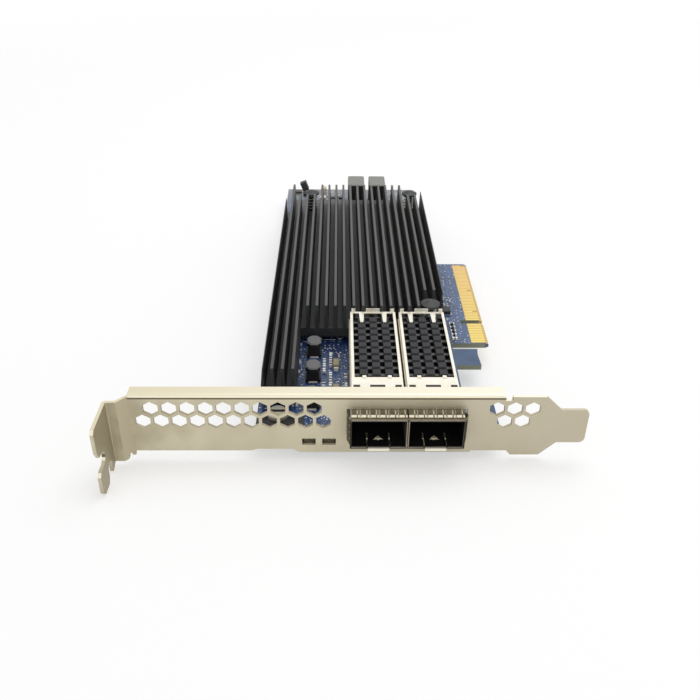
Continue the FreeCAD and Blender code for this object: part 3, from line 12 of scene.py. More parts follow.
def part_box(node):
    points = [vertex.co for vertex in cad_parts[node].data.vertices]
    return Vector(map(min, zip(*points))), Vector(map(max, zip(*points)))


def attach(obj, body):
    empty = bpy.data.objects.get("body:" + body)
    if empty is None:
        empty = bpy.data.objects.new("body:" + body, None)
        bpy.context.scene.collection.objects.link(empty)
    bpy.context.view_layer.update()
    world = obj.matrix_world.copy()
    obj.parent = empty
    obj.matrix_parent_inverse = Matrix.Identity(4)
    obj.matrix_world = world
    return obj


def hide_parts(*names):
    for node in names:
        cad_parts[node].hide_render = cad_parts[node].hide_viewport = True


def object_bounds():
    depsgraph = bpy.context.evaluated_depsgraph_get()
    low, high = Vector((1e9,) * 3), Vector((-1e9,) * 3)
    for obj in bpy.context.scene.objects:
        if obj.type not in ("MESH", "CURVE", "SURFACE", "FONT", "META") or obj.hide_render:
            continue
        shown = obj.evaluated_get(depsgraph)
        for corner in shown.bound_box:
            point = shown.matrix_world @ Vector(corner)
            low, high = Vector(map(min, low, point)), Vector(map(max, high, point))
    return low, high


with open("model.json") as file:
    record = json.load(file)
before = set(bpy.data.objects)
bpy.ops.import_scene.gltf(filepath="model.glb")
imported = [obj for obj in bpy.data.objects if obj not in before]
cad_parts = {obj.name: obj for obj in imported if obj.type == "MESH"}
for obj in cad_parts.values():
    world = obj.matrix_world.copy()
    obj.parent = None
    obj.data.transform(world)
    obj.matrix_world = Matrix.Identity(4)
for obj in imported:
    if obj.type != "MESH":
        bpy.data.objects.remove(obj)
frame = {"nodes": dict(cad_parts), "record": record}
cad_box = [list(corner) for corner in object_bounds()]
cad = frame["nodes"]

bl_info = {
    "name": "Network card dressing",
    "version": (1, 1, 0),
    "blender": (4, 5, 0),
    "location": "View3D > Sidebar > Network Card",
    "description": "Finishes and small parts for a network interface card",
    "category": "Object",
}

MM = 0.001
X, Y, Z = 0, 1, 2

# Levels of one coordinate of a face's true normal. A level past 1 takes in the squarest.
AGAINST_AXIS = (-1.1, -0.7)
ALONG_AXIS = (0.5, 1.1)

# Levels of mottling: its upper half, and the rise over which a cloud changes tone
UPPER_HALF = (0.5, 1.0)
CLOUD_RISE = (0.35, 0.65)

# The colour inputs and output of a mix node, which shares their names with other kinds
MIX_UNDER, MIX_OVER, MIX_RESULT = 6, 7, 2


# Colours and shader nodes

def linear(hex_colour):
    """An sRGB hex colour as linear red, green, blue and alpha."""
    channels = []
    for start in (1, 3, 5):
        value = int(hex_colour[start:start + 2], 16) / 255
        if value <= 0.04045:
            channels.append(value / 12.92)
        else:
            channels.append(((value + 0.055) / 1.055) ** 2.4)
    return (*channels, 1.0)


def add_node(tree, kind, settings=None, links=None):
    """Add a shader node. Settings name a property or an input; links name an input."""
    made = tree.nodes.new(kind)
    for key, value in (settings or {}).items():
        if isinstance(key, str) and hasattr(made, key):
            setattr(made, key, value)
        else:
            made.inputs[key].default_value = value
    for key, source in (links or {}).items():
        tree.links.new(source, made.inputs[key])
    return made


def start_finish(name, hex_colour, metallic, roughness):
    """A material with one surface shader, ready for a pattern."""
    material = bpy.data.materials.new(name)
    material.use_nodes = True
    material.diffuse_color = linear(hex_colour)
    shader = material.node_tree.nodes["Principled BSDF"]
    shader.inputs["Base Color"].default_value = linear(hex_colour)
    shader.inputs["Metallic"].default_value = metallic
    shader.inputs["Roughness"].default_value = roughness
    return material, material.node_tree, shader


def pattern_place(tree, cell_mm, stretch=(1, 1, 1)):
    """The surface's place in pattern cells of the given size."""
    coordinates = add_node(tree, "ShaderNodeTexCoord")
    scale = [share / (cell_mm * MM) for share in stretch]
    mapping = add_node(tree, "ShaderNodeMapping", {"Scale": scale},
                       {"Vector": coordinates.outputs["Object"]})
    return mapping.outputs["Vector"]


def place_axis(tree, axis):
    """One coordinate of the surface's place, in metres."""
    coordinates = add_node(tree, "ShaderNodeTexCoord")
    parts = add_node(tree, "ShaderNodeSeparateXYZ", {}, {0: coordinates.outputs["Object"]})
    return parts.outputs[axis]


def facing_axis(tree, axis):
    """One coordinate of the way that the surface faces."""
    geometry = add_node(tree, "ShaderNodeNewGeometry")
    parts = add_node(tree, "ShaderNodeSeparateXYZ", {}, {0: geometry.outputs["True Normal"]})
    return parts.outputs[axis]


def within(tree, value, low, high):
    """1 where the value lies between two levels, else 0."""
    test = add_node(tree, "ShaderNodeMath",
                    {"operation": "COMPARE", 1: (low + high) / 2, 2: (high - low) / 2},
                    {0: value})
    return test.outputs["Value"]


def placed(tree, axis, low, high):
    """1 where the surface's place lies between two levels along one axis."""
    return within(tree, place_axis(tree, axis), low, high)


def faced(tree, axis, low, high):
    """1 where the surface faces along one axis, between two levels of its normal."""
    return within(tree, facing_axis(tree, axis), low, high)


def joined(tree, operation, masks):
    """Several masks through one arithmetic step after another."""
    whole = masks[0]
    for mask in masks[1:]:
        step = add_node(tree, "ShaderNodeMath", {"operation": operation},
                        {0: whole, 1: mask})
        whole = step.outputs["Value"]
    return whole


def all_of(tree, *masks):
    """1 where every mask is 1."""
    return joined(tree, "MULTIPLY", masks)


def any_of(tree, *masks):
    """1 where one of the masks is 1."""
    return joined(tree, "MAXIMUM", masks)


def on_plan(tree, left, right, front, back):
    """1 over a rectangle of the plan."""
    return all_of(tree, placed(tree, X, left, right), placed(tree, Y, front, back))


def worked_out(tree, value, *steps):
    """A value through arithmetic steps: each an operation, with its number if it has one."""
    for operation, *number in steps:
        settings = {"operation": operation}
        if number:
            settings[1] = number[0]
        step = add_node(tree, "ShaderNodeMath", settings, {0: value})
        value = step.outputs["Value"]
    return value


def off_centre(tree, value, middle=0.0):
    """How far a value is from a middle, to either side."""
    return worked_out(tree, value, ("SUBTRACT", middle), ("ABSOLUTE",))


def repeated(tree, value, start, pitch):
    """A value's place in a pattern that repeats, from 0 to 1 over each pitch."""
    return worked_out(tree, value, ("SUBTRACT", start), ("DIVIDE", pitch), ("FRACT",))


def graded(tree, value, low, high):
    """A value's rise from 0 to 1 between two levels."""
    rise = add_node(tree, "ShaderNodeMapRange", {"From Min": low, "From Max": high},
                    {"Value": value})
    return rise.outputs["Result"]


def blend(tree, mask, under, over, share=None):
    """One colour over another, by the mask or a share of it. Each is a hex or a socket."""
    if share is not None:
        mask = worked_out(tree, mask, ("MULTIPLY", share))
    mixed = add_node(tree, "ShaderNodeMix", {"data_type": "RGBA"}, {0: mask})
    for socket, colour in ((MIX_UNDER, under), (MIX_OVER, over)):
        if isinstance(colour, str):
            mixed.inputs[socket].default_value = linear(colour)
        else:
            tree.links.new(colour, mixed.inputs[socket])
    return mixed.outputs[MIX_RESULT]


def mottle(tree, cell_mm, stretch=(1, 1, 1)):
    """Smooth uneven patches of the given size, from 0 to 1."""
    made = add_node(tree, "ShaderNodeTexNoise", {"Scale": 1.0, "Detail": 2.0},
                    {"Vector": pattern_place(tree, cell_mm, stretch)})
    return made.outputs["Fac"]


def clouded(tree, dark, light, cell_mm, stretch=(1, 1, 1)):
    """Slow change of tone across a surface, between two colours."""
    cloud = graded(tree, mottle(tree, cell_mm, stretch), *CLOUD_RISE)
    return blend(tree, cloud, dark, light)


def paint(tree, shader, colour):
    """Give the surface its colour from a socket."""
    tree.links.new(colour, shader.inputs["Base Color"])


def relief(tree, shader, height, depth_mm):
    """A shallow relief from a height pattern."""
    bump = add_node(tree, "ShaderNodeBump", {"Strength": 1.0, "Distance": depth_mm * MM},
                    {"Height": height})
    tree.links.new(bump.outputs["Normal"], shader.inputs["Normal"])


# Finishes, each named for what the piece is made of

def nickel_plated_sheet():
    """Dull nickel on steel, warm and satin; painted light on the flange, painted shade at the
    ends.
    """
    material, tree, shader = start_finish("nickel_plated_steel_sheet", "#D6CDB2",
                                          metallic=0.3, roughness=0.42)
    low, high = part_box("bracket")
    across = place_axis(tree, X)
    tone = clouded(tree, "#CBC2A6", "#D6CEB3", cell_mm=14.0)

    # Painted shade, mottled, growing towards the left end of the sheet.
    left_shade_start = low[X] + 34 * MM
    left_shade_full = low[X] + 3 * MM
    left_shade = graded(tree, across, left_shade_start, left_shade_full)
    mottled_shade = clouded(tree, "#B4AA8F", "#D0C7AD", cell_mm=7.0)
    tone = blend(tree, left_shade, tone, mottled_shade, share=0.8)

    # Painted shade growing towards the right end of the sheet.
    shade_start = high[X] - 75 * MM
    shade_full = high[X] - 5 * MM
    shaded = graded(tree, across, shade_start, shade_full)
    tone = blend(tree, shaded, tone, "#B9AF9A", share=0.6)

    # Painted shade on faces turned sideways: some on slanted ones, more on square ones.
    sideways = off_centre(tree, facing_axis(tree, X))
    slanted_ends = within(tree, sideways, 0.2, 0.85)
    square_ends = within(tree, sideways, 0.85, 1.1)
    tone = blend(tree, slanted_ends, tone, "#C2B79B")
    tone = blend(tree, square_ends, tone, "#A0957B")

    # Painted light: the flange's top is paler, more so towards the right.
    flange_depth = 2 * MM
    flat = (0.8, 1.1)
    flange = all_of(tree, faced(tree, Z, *flat),
                    placed(tree, Z, high[Z] - flange_depth, high[Z] + MM))
    lit = blend(tree, graded(tree, across, low[X], high[X]), "#DCD2B5", "#F2EEDC")
    tone = blend(tree, flange, tone, lit)

    # The bend catches the light in its upper part and turns dark below it.
    upper_part = (0.4, 0.8)
    lower_part = (0.05, 0.4)
    bend = all_of(tree, faced(tree, Z, *upper_part), faced(tree, Y, -1.0, -0.2))
    crease = all_of(tree, faced(tree, Z, *lower_part), faced(tree, Y, -1.0, -0.5))
    tone = blend(tree, bend, tone, "#F4ECD2")
    paint(tree, shader, blend(tree, crease, tone, "#6B6048"))

    # Rolling lines of real sheet are finer; these are just coarse enough to show.
    rolled = mottle(tree, cell_mm=0.35, stretch=(0.15, 1, 1))
    relief(tree, shader, rolled, depth_mm=0.003)
    return material


def tin_plated_cage():
    """Bright tin on thin sheet; the inside and the nose of each cage fall into the dark."""
    material, tree, shader = start_finish("tin_plated_cage_sheet", "#E6DFCB",
                                          metallic=0.4, roughness=0.35)
    left_low, left_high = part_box("port_cage_left")
    right_low, right_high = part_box("port_cage_right")
    nose, rear, roof = left_low[Y], left_high[Y], left_high[Z]
    between = (left_high[X] + right_low[X]) / 2
    skin = 0.15 * MM
    tongue_reach = 2.75 * MM
    tone = clouded(tree, "#DCD4BF", "#EEE7D5", cell_mm=4.0)

    hollows = []
    tongues = []
    for low, high in ((left_low, left_high), (right_low, right_high)):
        middle = (low[X] + high[X]) / 2
        hollows.append(placed(tree, X, low[X] + skin, high[X] - skin))
        tongues.append(placed(tree, X, middle - tongue_reach, middle + tongue_reach))

    lit_lip = 0.7 * MM
    inside = all_of(tree, placed(tree, Z, skin, roof - skin),
                    placed(tree, Y, nose + lit_lip, rear + MM), any_of(tree, *hollows))
    tone = blend(tree, inside, tone, "#232122")

    # Painted shade on the walls that face each other across the gap between the cages.
    gap_reach = 2 * MM
    sideways = within(tree, off_centre(tree, facing_axis(tree, X)), 0.7, 1.1)
    gap = all_of(tree, sideways,
                 placed(tree, X, between - gap_reach, between + gap_reach))
    tone = blend(tree, gap, tone, "#6B6656")

    rim_depth = 0.6 * MM
    rim_foot = -0.6 * MM
    at_nose = placed(tree, Y, nose - MM, nose + rim_depth)
    rim = all_of(tree, faced(tree, Y, *AGAINST_AXIS), at_nose,
                 placed(tree, Z, rim_foot, roof + MM))
    divider_reach = 0.35 * MM
    divider = placed(tree, X, between - divider_reach, between + divider_reach)
    tone = blend(tree, rim, tone, blend(tree, divider, "#1C1916", "#8F8673"))

    # Painted light on the bent lips of the tongues at the nose.
    tongue_low, tongue_high = -2.5 * MM, 0.35 * MM
    lips = all_of(tree, any_of(tree, *tongues), at_nose,
                  placed(tree, Z, tongue_low, tongue_high))
    tone = blend(tree, lips, tone, "#F4EEDC")

    # The end of the roofs is in shade, between the riding sinks and the heat sink.
    sinks_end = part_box("port_heatsink_left")[1][Y]
    roof_depth = 0.4 * MM
    behind = all_of(tree, placed(tree, Z, roof - roof_depth, roof + MM),
                    placed(tree, Y, sinks_end, rear + MM))
    paint(tree, shader, blend(tree, behind, tone, "#3B3935"))
    return material


def spring_strip():
    """Stainless strip with a light film of tin: pale, with painted shade in the slots of its
    front bar.
    """
    material, tree, shader = start_finish("tinned_spring_strip", "#F1EBDA",
                                          metallic=0.25, roughness=0.35)
    tone = clouded(tree, "#EFE9D8", "#FAF6E9", cell_mm=3.0)
    low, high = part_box("heatsink_clip_left")
    middle_slot_end = 1.95 * MM
    side_slot_start = 4.5 * MM
    edge = 0.4 * MM
    side_slot_end = (high[X] - low[X]) / 2 - edge
    slots_front = low[Y] + 0.9 * MM
    slots_rear = low[Y] + 2.0 * MM
    slots = []
    for node in ("heatsink_clip_left", "heatsink_clip_right"):
        left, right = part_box(node)
        middle = (left[X] + right[X]) / 2
        offset = off_centre(tree, place_axis(tree, X), middle)
        slots.append(within(tree, offset, -MM, middle_slot_end))
        slots.append(within(tree, offset, side_slot_start, side_slot_end))
    # Painted shade in the slots of the front bar and on the strip behind them.
    slot_shade = all_of(tree, any_of(tree, *slots), placed(tree, Y, slots_front, slots_rear))
    paint(tree, shader, blend(tree, slot_shade, tone, "#15120E"))
    return material


def gasket_strip():
    """Copper-alloy finger strip: painted shade in the hollows, painted highlights where
    fingers rise.
    """
    material, tree, shader = start_finish("tinned_copper_finger_strip", "#6F644E",
                                          metallic=0.15, roughness=0.5)
    shader.inputs["Specular IOR Level"].default_value = 0.2
    low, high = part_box("port_gasket")
    depth = place_axis(tree, Y)
    front = low[Y]
    tone = clouded(tree, "#403724", "#62583F", cell_mm=1.2)
    # Painted light rising towards the crest; the hollows in front of it stay darker as
    # painted shade.
    crest_start = front + 2.1 * MM
    crest_full = front + 3.2 * MM
    tone = blend(tree, graded(tree, depth, crest_start, crest_full), tone, "#6B614A")

    first_finger = low[X] + 0.35 * MM
    finger_pitch = 2.35 * MM
    slit_share = (0.86, 1.0)
    slit = within(tree, repeated(tree, place_axis(tree, X), first_finger, finger_pitch),
                  *slit_share)
    # Painted highlights where the fingers rise, darker at the slits, then along the slits of
    # the ridge and on the front lip.
    up = faced(tree, Z, 0.3, 1.1)
    rise = all_of(tree, up, within(tree, depth, front + 1.0 * MM, front + 1.65 * MM))
    tone = blend(tree, rise, tone, blend(tree, slit, "#DDD4BF", "#6E644E"))
    ridge = all_of(tree, up, slit, within(tree, depth, front + 1.8 * MM, high[Y]))
    tone = blend(tree, ridge, tone, "#A89E86")
    lip = all_of(tree, within(tree, depth, front - 0.1 * MM, front + 0.25 * MM), up)
    tone = blend(tree, lip, tone, "#8E846C")
    # Painted shade on the faces that turn to the front.
    paint(tree, shader, blend(tree, faced(tree, Y, *AGAINST_AXIS), tone, "#3A3325"))
    return material


def riding_pins(tree, low, high):
    """The tone of the sinks that ride on the cages, where they are, and their rows of painted
    shade.
    """
    level = 0.05 * MM
    vertices = cad["port_heatsink_left"].data.vertices
    edges = sorted({round(vertex.co[Y], 6) for vertex in vertices
                    if vertex.co[Z] > high[Z] - level})
    pin = edges[1] - edges[0]
    pitch = edges[2] - edges[0]

    # Painted shade and light: a line goes up and forward from each point, at this run for
    # each unit of rise. The point is painted dark where the line meets the level of the tops
    # within a row of pins, and paler where it comes up between rows. The slope is that of the
    # stage's camera.
    run = 1.54
    shift = worked_out(tree, place_axis(tree, Z), ("SUBTRACT", high[Z]), ("MULTIPLY", run))
    meeting = add_node(tree, "ShaderNodeMath", {"operation": "ADD"},
                       {0: place_axis(tree, Y), 1: shift})
    whole_rows = 4 * pitch
    phase = repeated(tree, meeting.outputs["Value"], edges[0] - whole_rows, pitch)
    in_row = within(tree, phase, 0.0, pin / pitch)
    pins = blend(tree, in_row, "#5F5F61", "#09090A")
    # Painted light on the pins' front faces and on their tops.
    pins = blend(tree, faced(tree, Y, *AGAINST_AXIS), pins, "#5B5C5E")
    tops = placed(tree, Z, high[Z] - level, high[Z] + MM)
    pins = blend(tree, tops, pins, "#4A4A4C")
    right_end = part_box("port_heatsink_right")[1][X]
    rider = all_of(tree, on_plan(tree, low[X], right_end, low[Y], high[Y]),
                   placed(tree, Z, low[Z], high[Z] + 2 * level))
    return pins, rider, in_row


def black_anodised_aluminium():
    """Black anodic film on extruded aluminium: painted light on the fin tops and towards the
    rear.
    """
    material, tree, shader = start_finish("black_anodised_aluminium", "#2C2C2D",
                                          metallic=0.1, roughness=0.45)
    low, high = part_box("heat_sink")
    tone = clouded(tree, "#333334", "#3E3F40", cell_mm=6.0, stretch=(1, 0.12, 1))
    # Painted light: a pale haze towards the rear.
    paler_from = low[Y] + 20 * MM
    far = graded(tree, place_axis(tree, Y), paler_from, high[Y])
    tone = blend(tree, far, tone, "#5F6260", share=0.85)
    # Painted light on the left-facing fin sides towards the rear.
    left_flanks = all_of(tree, faced(tree, X, *AGAINST_AXIS),
                         placed(tree, X, low[X] + MM, high[X]))
    tone = blend(tree, all_of(tree, left_flanks, far), tone, "#6A6C69")
    # Painted light on the fin tops.
    skin = 0.2 * MM
    lit_fin_tops = placed(tree, Z, high[Z] - skin, high[Z] + skin)
    tone = blend(tree, lit_fin_tops, tone, blend(tree, far, "#4E4E4D", "#5C5D5B"))

    pins, rider, in_row = riding_pins(tree, *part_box("port_heatsink_left"))
    paint(tree, shader, blend(tree, rider, tone, pins))
    # No sheen in the riding pins' rows of painted shade, so they stay dark.
    sheen, no_sheen = 0.25, 0.0
    shine = add_node(tree, "ShaderNodeMapRange", {"To Min": sheen, "To Max": no_sheen},
                     {"Value": all_of(tree, rider, in_row)})
    tree.links.new(shine.outputs["Result"], shader.inputs["Specular IOR Level"])

    # Die lines of a real extrusion are finer; these are just coarse enough to show.
    drawn = mottle(tree, cell_mm=0.3, stretch=(1, 0.06, 1))
    relief(tree, shader, drawn, depth_mm=0.003)
    return material


def copper_under_mask(tree):
    """Tones of the solder mask over poured copper, long tracks and fine ones."""
    pour = add_node(tree, "ShaderNodeTexVoronoi",
                    {"voronoi_dimensions": "2D", "distance": "CHEBYCHEV", "Scale": 1.0},
                    {"Vector": pattern_place(tree, cell_mm=7.0)})
    pour_edge = graded(tree, pour.outputs["Distance"], 0.40, 0.42)
    tone = blend(tree, pour_edge, "#1F3B69", "#162B50")
    tracks = add_node(tree, "ShaderNodeTexWave",
                      {"Scale": 1.0, "bands_direction": "X", "Distortion": 2.5,
                       "Detail": 0.0, "Detail Scale": 0.4},
                      {"Vector": pattern_place(tree, cell_mm=4.2, stretch=(1, 0.35, 1))})
    crests = within(tree, tracks.outputs["Fac"], 0.78, 1.1)
    routed = all_of(tree, crests, within(tree, mottle(tree, cell_mm=9.0), *UPPER_HALF))
    tone = blend(tree, routed, tone, "#2A4A78")
    fine = add_node(tree, "ShaderNodeTexVoronoi",
                    {"voronoi_dimensions": "2D", "feature": "DISTANCE_TO_EDGE",
                     "Scale": 1.0},
                    {"Vector": pattern_place(tree, cell_mm=1.3, stretch=(1, 0.6, 1))})
    fine_lines = within(tree, fine.outputs["Distance"], 0.0, 0.05)
    busy = all_of(tree, fine_lines, within(tree, mottle(tree, cell_mm=6.0), *UPPER_HALF))
    return blend(tree, busy, tone, "#3E5A86")


def board_in_light(tree, tone, tab):
    """The mask's tone by place: paler by the contacts, painted light to the rear, painted
    shade by the chokes.
    """
    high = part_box("circuit_board")[1]
    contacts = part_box("edge_contacts")[0]
    cage_low, cage_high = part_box("port_cage_left")
    across = place_axis(tree, X)
    along = place_axis(tree, Y)

    margin_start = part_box("heat_sink")[1][X] + 0.3 * MM
    margin_full = contacts[X] - 1.5 * MM
    margin = all_of(tree, graded(tree, across, margin_start, margin_full),
                    within(tree, along, contacts[Y] - MM, high[Y]))
    tone = blend(tree, margin, tone, "#5A7095", share=0.5)
    tone = blend(tree, tab, tone, clouded(tree, "#284668", "#305277", cell_mm=5.0))

    # Painted shade on the board between the chokes and the cages, growing towards the cages'
    # rear end.
    chokes_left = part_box("power_chokes")[0][X]
    choke_shade_start = cage_high[Y] - 16 * MM
    choke_shade_full = cage_high[Y] + MM
    choke_shade = all_of(tree, within(tree, across, chokes_left - 1.5 * MM, cage_low[X]),
                  graded(tree, along, choke_shade_start, choke_shade_full))
    tone = blend(tree, choke_shade, tone, "#0D2450", share=0.7)
    # Painted light: a pale haze over the rear of the board.
    paler_start = high[Y] - 26 * MM
    paler_full = high[Y] - 2 * MM
    far = graded(tree, along, paler_start, paler_full)
    return blend(tree, far, tone, "#85888A", share=0.85)


def board_vias(tree, tone, tab):
    """Vias about 0.4 mm across in patches: many under the mask, and fewer bare ones."""
    off_tab = worked_out(tree, tab, ("MULTIPLY", -1.0), ("ADD", 1.0))
    tented = (1.2, 0.15, "#8496B0")
    bare = (2.1, 0.09, "#E4E8EA")
    for pitch_mm, radius_in_pitches, colour in (tented, bare):
        dots = add_node(tree, "ShaderNodeTexVoronoi",
                        {"voronoi_dimensions": "2D", "Scale": 1.0, "Randomness": 0.7},
                        {"Vector": pattern_place(tree, cell_mm=pitch_mm)})
        patches = within(tree, mottle(tree, cell_mm=4.0), 0.44, 1.0)
        via = all_of(tree, within(tree, dots.outputs["Distance"], 0.0, radius_in_pitches),
                     patches, off_tab)
        tone = blend(tree, via, tone, colour)
    return tone


def board_borders(tree, tone):
    """Painted shade under the flange, gold at the contacts' fingers, and bare glass-epoxy
    edges.
    """
    low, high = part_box("circuit_board")
    contacts_low, contacts_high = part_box("edge_contacts")
    cages_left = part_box("port_cage_left")[0][X]
    cages_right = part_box("port_cage_right")[1][X]
    # Painted shade on the board under the flange, by the cages and at the front left corner.
    beside = 2 * MM
    dark_by_cages = low[Y] + 14 * MM
    corner_width = 12.5 * MM
    corner_depth = 7.5 * MM
    by_cages = on_plan(tree, cages_left - beside, cages_right + beside,
                       low[Y] - MM, dark_by_cages)
    corner = on_plan(tree, low[X] - MM, low[X] + corner_width,
                     low[Y] - MM, low[Y] + corner_depth)
    flange_shade = all_of(tree, any_of(tree, by_cages, corner),
                          faced(tree, Z, *ALONG_AXIS))
    tone = blend(tree, flange_shade, tone, "#0D0E12")

    spill = 0.4 * MM
    plated = on_plan(tree, contacts_low[X] - 0.1 * MM, high[X] + MM,
                     contacts_low[Y] - spill, contacts_high[Y] + spill)
    tone = blend(tree, plated, tone, "#C9A551")
    cut_edge = all_of(tree, faced(tree, Z, -0.3, 0.3),
                      placed(tree, X, low[X] - MM, high[X] - MM))
    return blend(tree, cut_edge, tone, "#7C816F")


def solder_mask_laminate():
    """Blue solder mask over copper on glass-epoxy, whose cut edges are bare."""
    material, tree, shader = start_finish("blue_solder_mask_laminate", "#23406C",
                                          metallic=0.0, roughness=0.35)
    shader.inputs["Coat Weight"].default_value = 0.12
    shader.inputs["Coat Roughness"].default_value = 0.15
    low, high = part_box("circuit_board")
    contacts_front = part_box("edge_contacts")[0][Y]
    cages_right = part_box("port_cage_right")[1][X]
    tab = on_plan(tree, cages_right, high[X] + MM, low[Y] - MM, contacts_front - 2 * MM)
    tone = copper_under_mask(tree)
    tone = board_in_light(tree, tone, tab)
    tone = board_vias(tree, tone, tab)
    paint(tree, shader, board_borders(tree, tone))
    return material


def hard_gold():
    """Electroplated gold on the edge contacts, a little redder towards the rear."""
    material, tree, shader = start_finish("hard_gold_plating", "#FFE896",
                                          metallic=0.05, roughness=0.35)
    low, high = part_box("edge_contacts")
    along = graded(tree, place_axis(tree, Y), low[Y], high[Y])
    paint(tree, shader, blend(tree, along, "#FFE880", "#FFD68C"))
    return material


def fine_grained(name, dark, light, roughness):
    """An even finish with a fine grain, as moulding, sintering, plating or print leaves."""
    material, tree, shader = start_finish(name, dark, metallic=0.0, roughness=roughness)
    paint(tree, shader, clouded(tree, dark, light, cell_mm=2.0))
    # The real grain is finer; this one is just coarse enough to show.
    relief(tree, shader, mottle(tree, cell_mm=0.12), depth_mm=0.003)
    return material


def two_tone(name, top, side, node):
    """A pressed part whose top face is ground pale and whose sides stay dark."""
    material, tree, shader = start_finish(name, side, metallic=0.0, roughness=0.6)
    top_depth = 1.0 * MM
    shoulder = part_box(node)[1][Z] - top_depth
    upper = all_of(tree, placed(tree, Z, shoulder, shoulder + 5 * MM),
                   faced(tree, Z, *ALONG_AXIS))
    specks = within(tree, mottle(tree, cell_mm=0.5), 0.0, 0.3)
    ground = blend(tree, specks, top, clouded(tree, top, side, cell_mm=0.4))
    paint(tree, shader, blend(tree, upper, side, ground))
    relief(tree, shader, mottle(tree, cell_mm=0.25), depth_mm=0.01)
    return material


def zinc_screw():
    """Bright zinc on steel, with a slot across each head in painted shade."""
    zinc = "#C9C6B8"
    material, tree, shader = start_finish("zinc_plated_screw", zinc,
                                          metallic=0.4, roughness=0.35)
    low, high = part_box("bracket_screws")
    middle = (low[Y] + high[Y]) / 2
    slot_front = middle - 1.0 * MM
    slot_rear = middle + 0.1 * MM
    slot_depth = 0.3 * MM
    # Painted shade: each slot is a dark band across the head, with no recess cut.
    slot = all_of(tree, placed(tree, Y, slot_front, slot_rear),
                  placed(tree, Z, high[Z] - slot_depth, high[Z] + MM))
    paint(tree, shader, blend(tree, slot, zinc, "#23211D"))
    return material


def zinc_wire():
    """Bright zinc on drawn spring wire, slightly uneven."""
    material, tree, shader = start_finish("zinc_plated_spring_wire", "#BDBDBB",
                                          metallic=0.5, roughness=0.3)
    relief(tree, shader, mottle(tree, cell_mm=0.3), depth_mm=0.01)
    return material


def smoked_lamp():
    """Smoked lens of a status light, which catches the light along its lower edge."""
    material, tree, shader = start_finish("smoked_lamp_moulding", "#575139",
                                          metallic=0.0, roughness=0.35)
    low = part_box("status_lights")[0]
    edge = placed(tree, Z, low[Z] - MM, low[Z] + 0.5 * MM)
    tone = clouded(tree, "#4F4A35", "#625C45", cell_mm=1.5)
    paint(tree, shader, blend(tree, edge, tone, "#E6DCBD"))
    return material


def finishes():
    """Every finish by the record's slot, then those of the added small parts."""
    made = {
        "bracket_steel": nickel_plated_sheet(),
        "screw_steel": zinc_screw(),
        "board_laminate": solder_mask_laminate(),
        "contact_gold": hard_gold(),
        "sink_anodised": black_anodised_aluminium(),
        "spring_wire": zinc_wire(),
        "cage_sheet": tin_plated_cage(),
        "clip_steel": spring_strip(),
        "spring_fingers": gasket_strip(),
        "choke_grey": two_tone("pressed_powder_choke", "#696A6A", "#1D1B1A",
                               "power_chokes"),
        "ferrite_grey": two_tone("sintered_ferrite_bead", "#83847E", "#262624",
                                 "bead_inductors"),
        "lamp_clear": smoked_lamp(),
    }
    for slot, name, dark, light, roughness in (
            ("black_nylon", "black_nylon_moulding", "#232324", "#2B2B2C", 0.5),
            ("chip_lid", "nickel_plated_lid", "#9A9A98", "#A8A8A6", 0.35),
            ("thermal_pad", "silicone_thermal_pad", "#8A93A0", "#98A1AE", 0.7),
            ("chip_black", "black_epoxy_moulding", "#222224", "#2D2D30", 0.5),
            ("socket_black", "black_polymer_socket", "#131314", "#1B1B1D", 0.5),
            ("ceramic_tan", "sintered_ceramic", "#4A3F35", "#5E5040", 0.5),
            ("tantalum_black", "olive_tantalum_moulding", "#8E8466", "#9C9173", 0.5),
            ("header_black", "black_header_moulding", "#29292A", "#363637", 0.5),
            ("header_cream", "cream_header_moulding", "#D6CCB2", "#E4DBC4", 0.5),
            ("terminal_tin", "reflowed_solder", "#E9EAE6", "#FBFBF8", 0.3),
            ("resistor_glaze", "glazed_resistor_body", "#26262A", "#33333A", 0.35),
            ("silk_white", "white_legend_ink", "#D6DCE1", "#EEF1F2", 0.7)):
        made[slot] = fine_grained(name, dark, light, roughness)
    return made


made_finishes = {}


# Small parts built as meshes

def add_block(mesh, low, high, finish=0):
    """A box between two corners, in metres, with one of the piece's finishes."""
    made = bmesh.ops.create_cube(mesh, size=1.0)
    size = Vector(high) - Vector(low)
    middle = (Vector(high) + Vector(low)) / 2
    for vertex in made["verts"]:
        vertex.co = Vector(vertex.co[axis] * size[axis] for axis in (X, Y, Z)) + middle
    for face in {face for vertex in made["verts"] for face in vertex.link_faces}:
        face.material_index = finish


def add_disc(mesh, x, y, height, radius, sides=12):
    """A short upright cylinder that stands on the board."""
    made = bmesh.ops.create_cone(mesh, cap_ends=True, segments=sides, radius1=radius,
                                 radius2=radius, depth=height)
    for vertex in made["verts"]:
        vertex.co += Vector((x, y, height / 2))


# Finishes of a chip part, by their place in CHIP_SLOTS
CHIP_SLOTS = ["ceramic_tan", "terminal_tin", "resistor_glaze"]
CERAMIC, TERMINAL, GLAZE = 0, 1, 2


def add_chip(mesh, low, high, terminal, body):
    """A two-terminal chip: a body between wrapped metal ends, along its longer side."""
    low = Vector(low)
    high = Vector(high)
    along = X if high[X] - low[X] > high[Y] - low[Y] else Y
    cap = (high[along] - low[along]) * terminal
    wrap_share = 0.06
    inset = (high[Z] - low[Z]) * wrap_share
    body_low = low.copy()
    body_high = high.copy()
    body_low[along] += cap
    body_high[along] -= cap
    for axis in (X, Y, Z):
        if axis != along:
            body_low[axis] += inset
            body_high[axis] -= inset
    add_block(mesh, body_low, body_high, body)
    first_high = high.copy()
    first_high[along] = low[along] + cap
    add_block(mesh, low, first_high, TERMINAL)
    second_low = low.copy()
    second_low[along] = high[along] - cap
    add_block(mesh, second_low, high, TERMINAL)


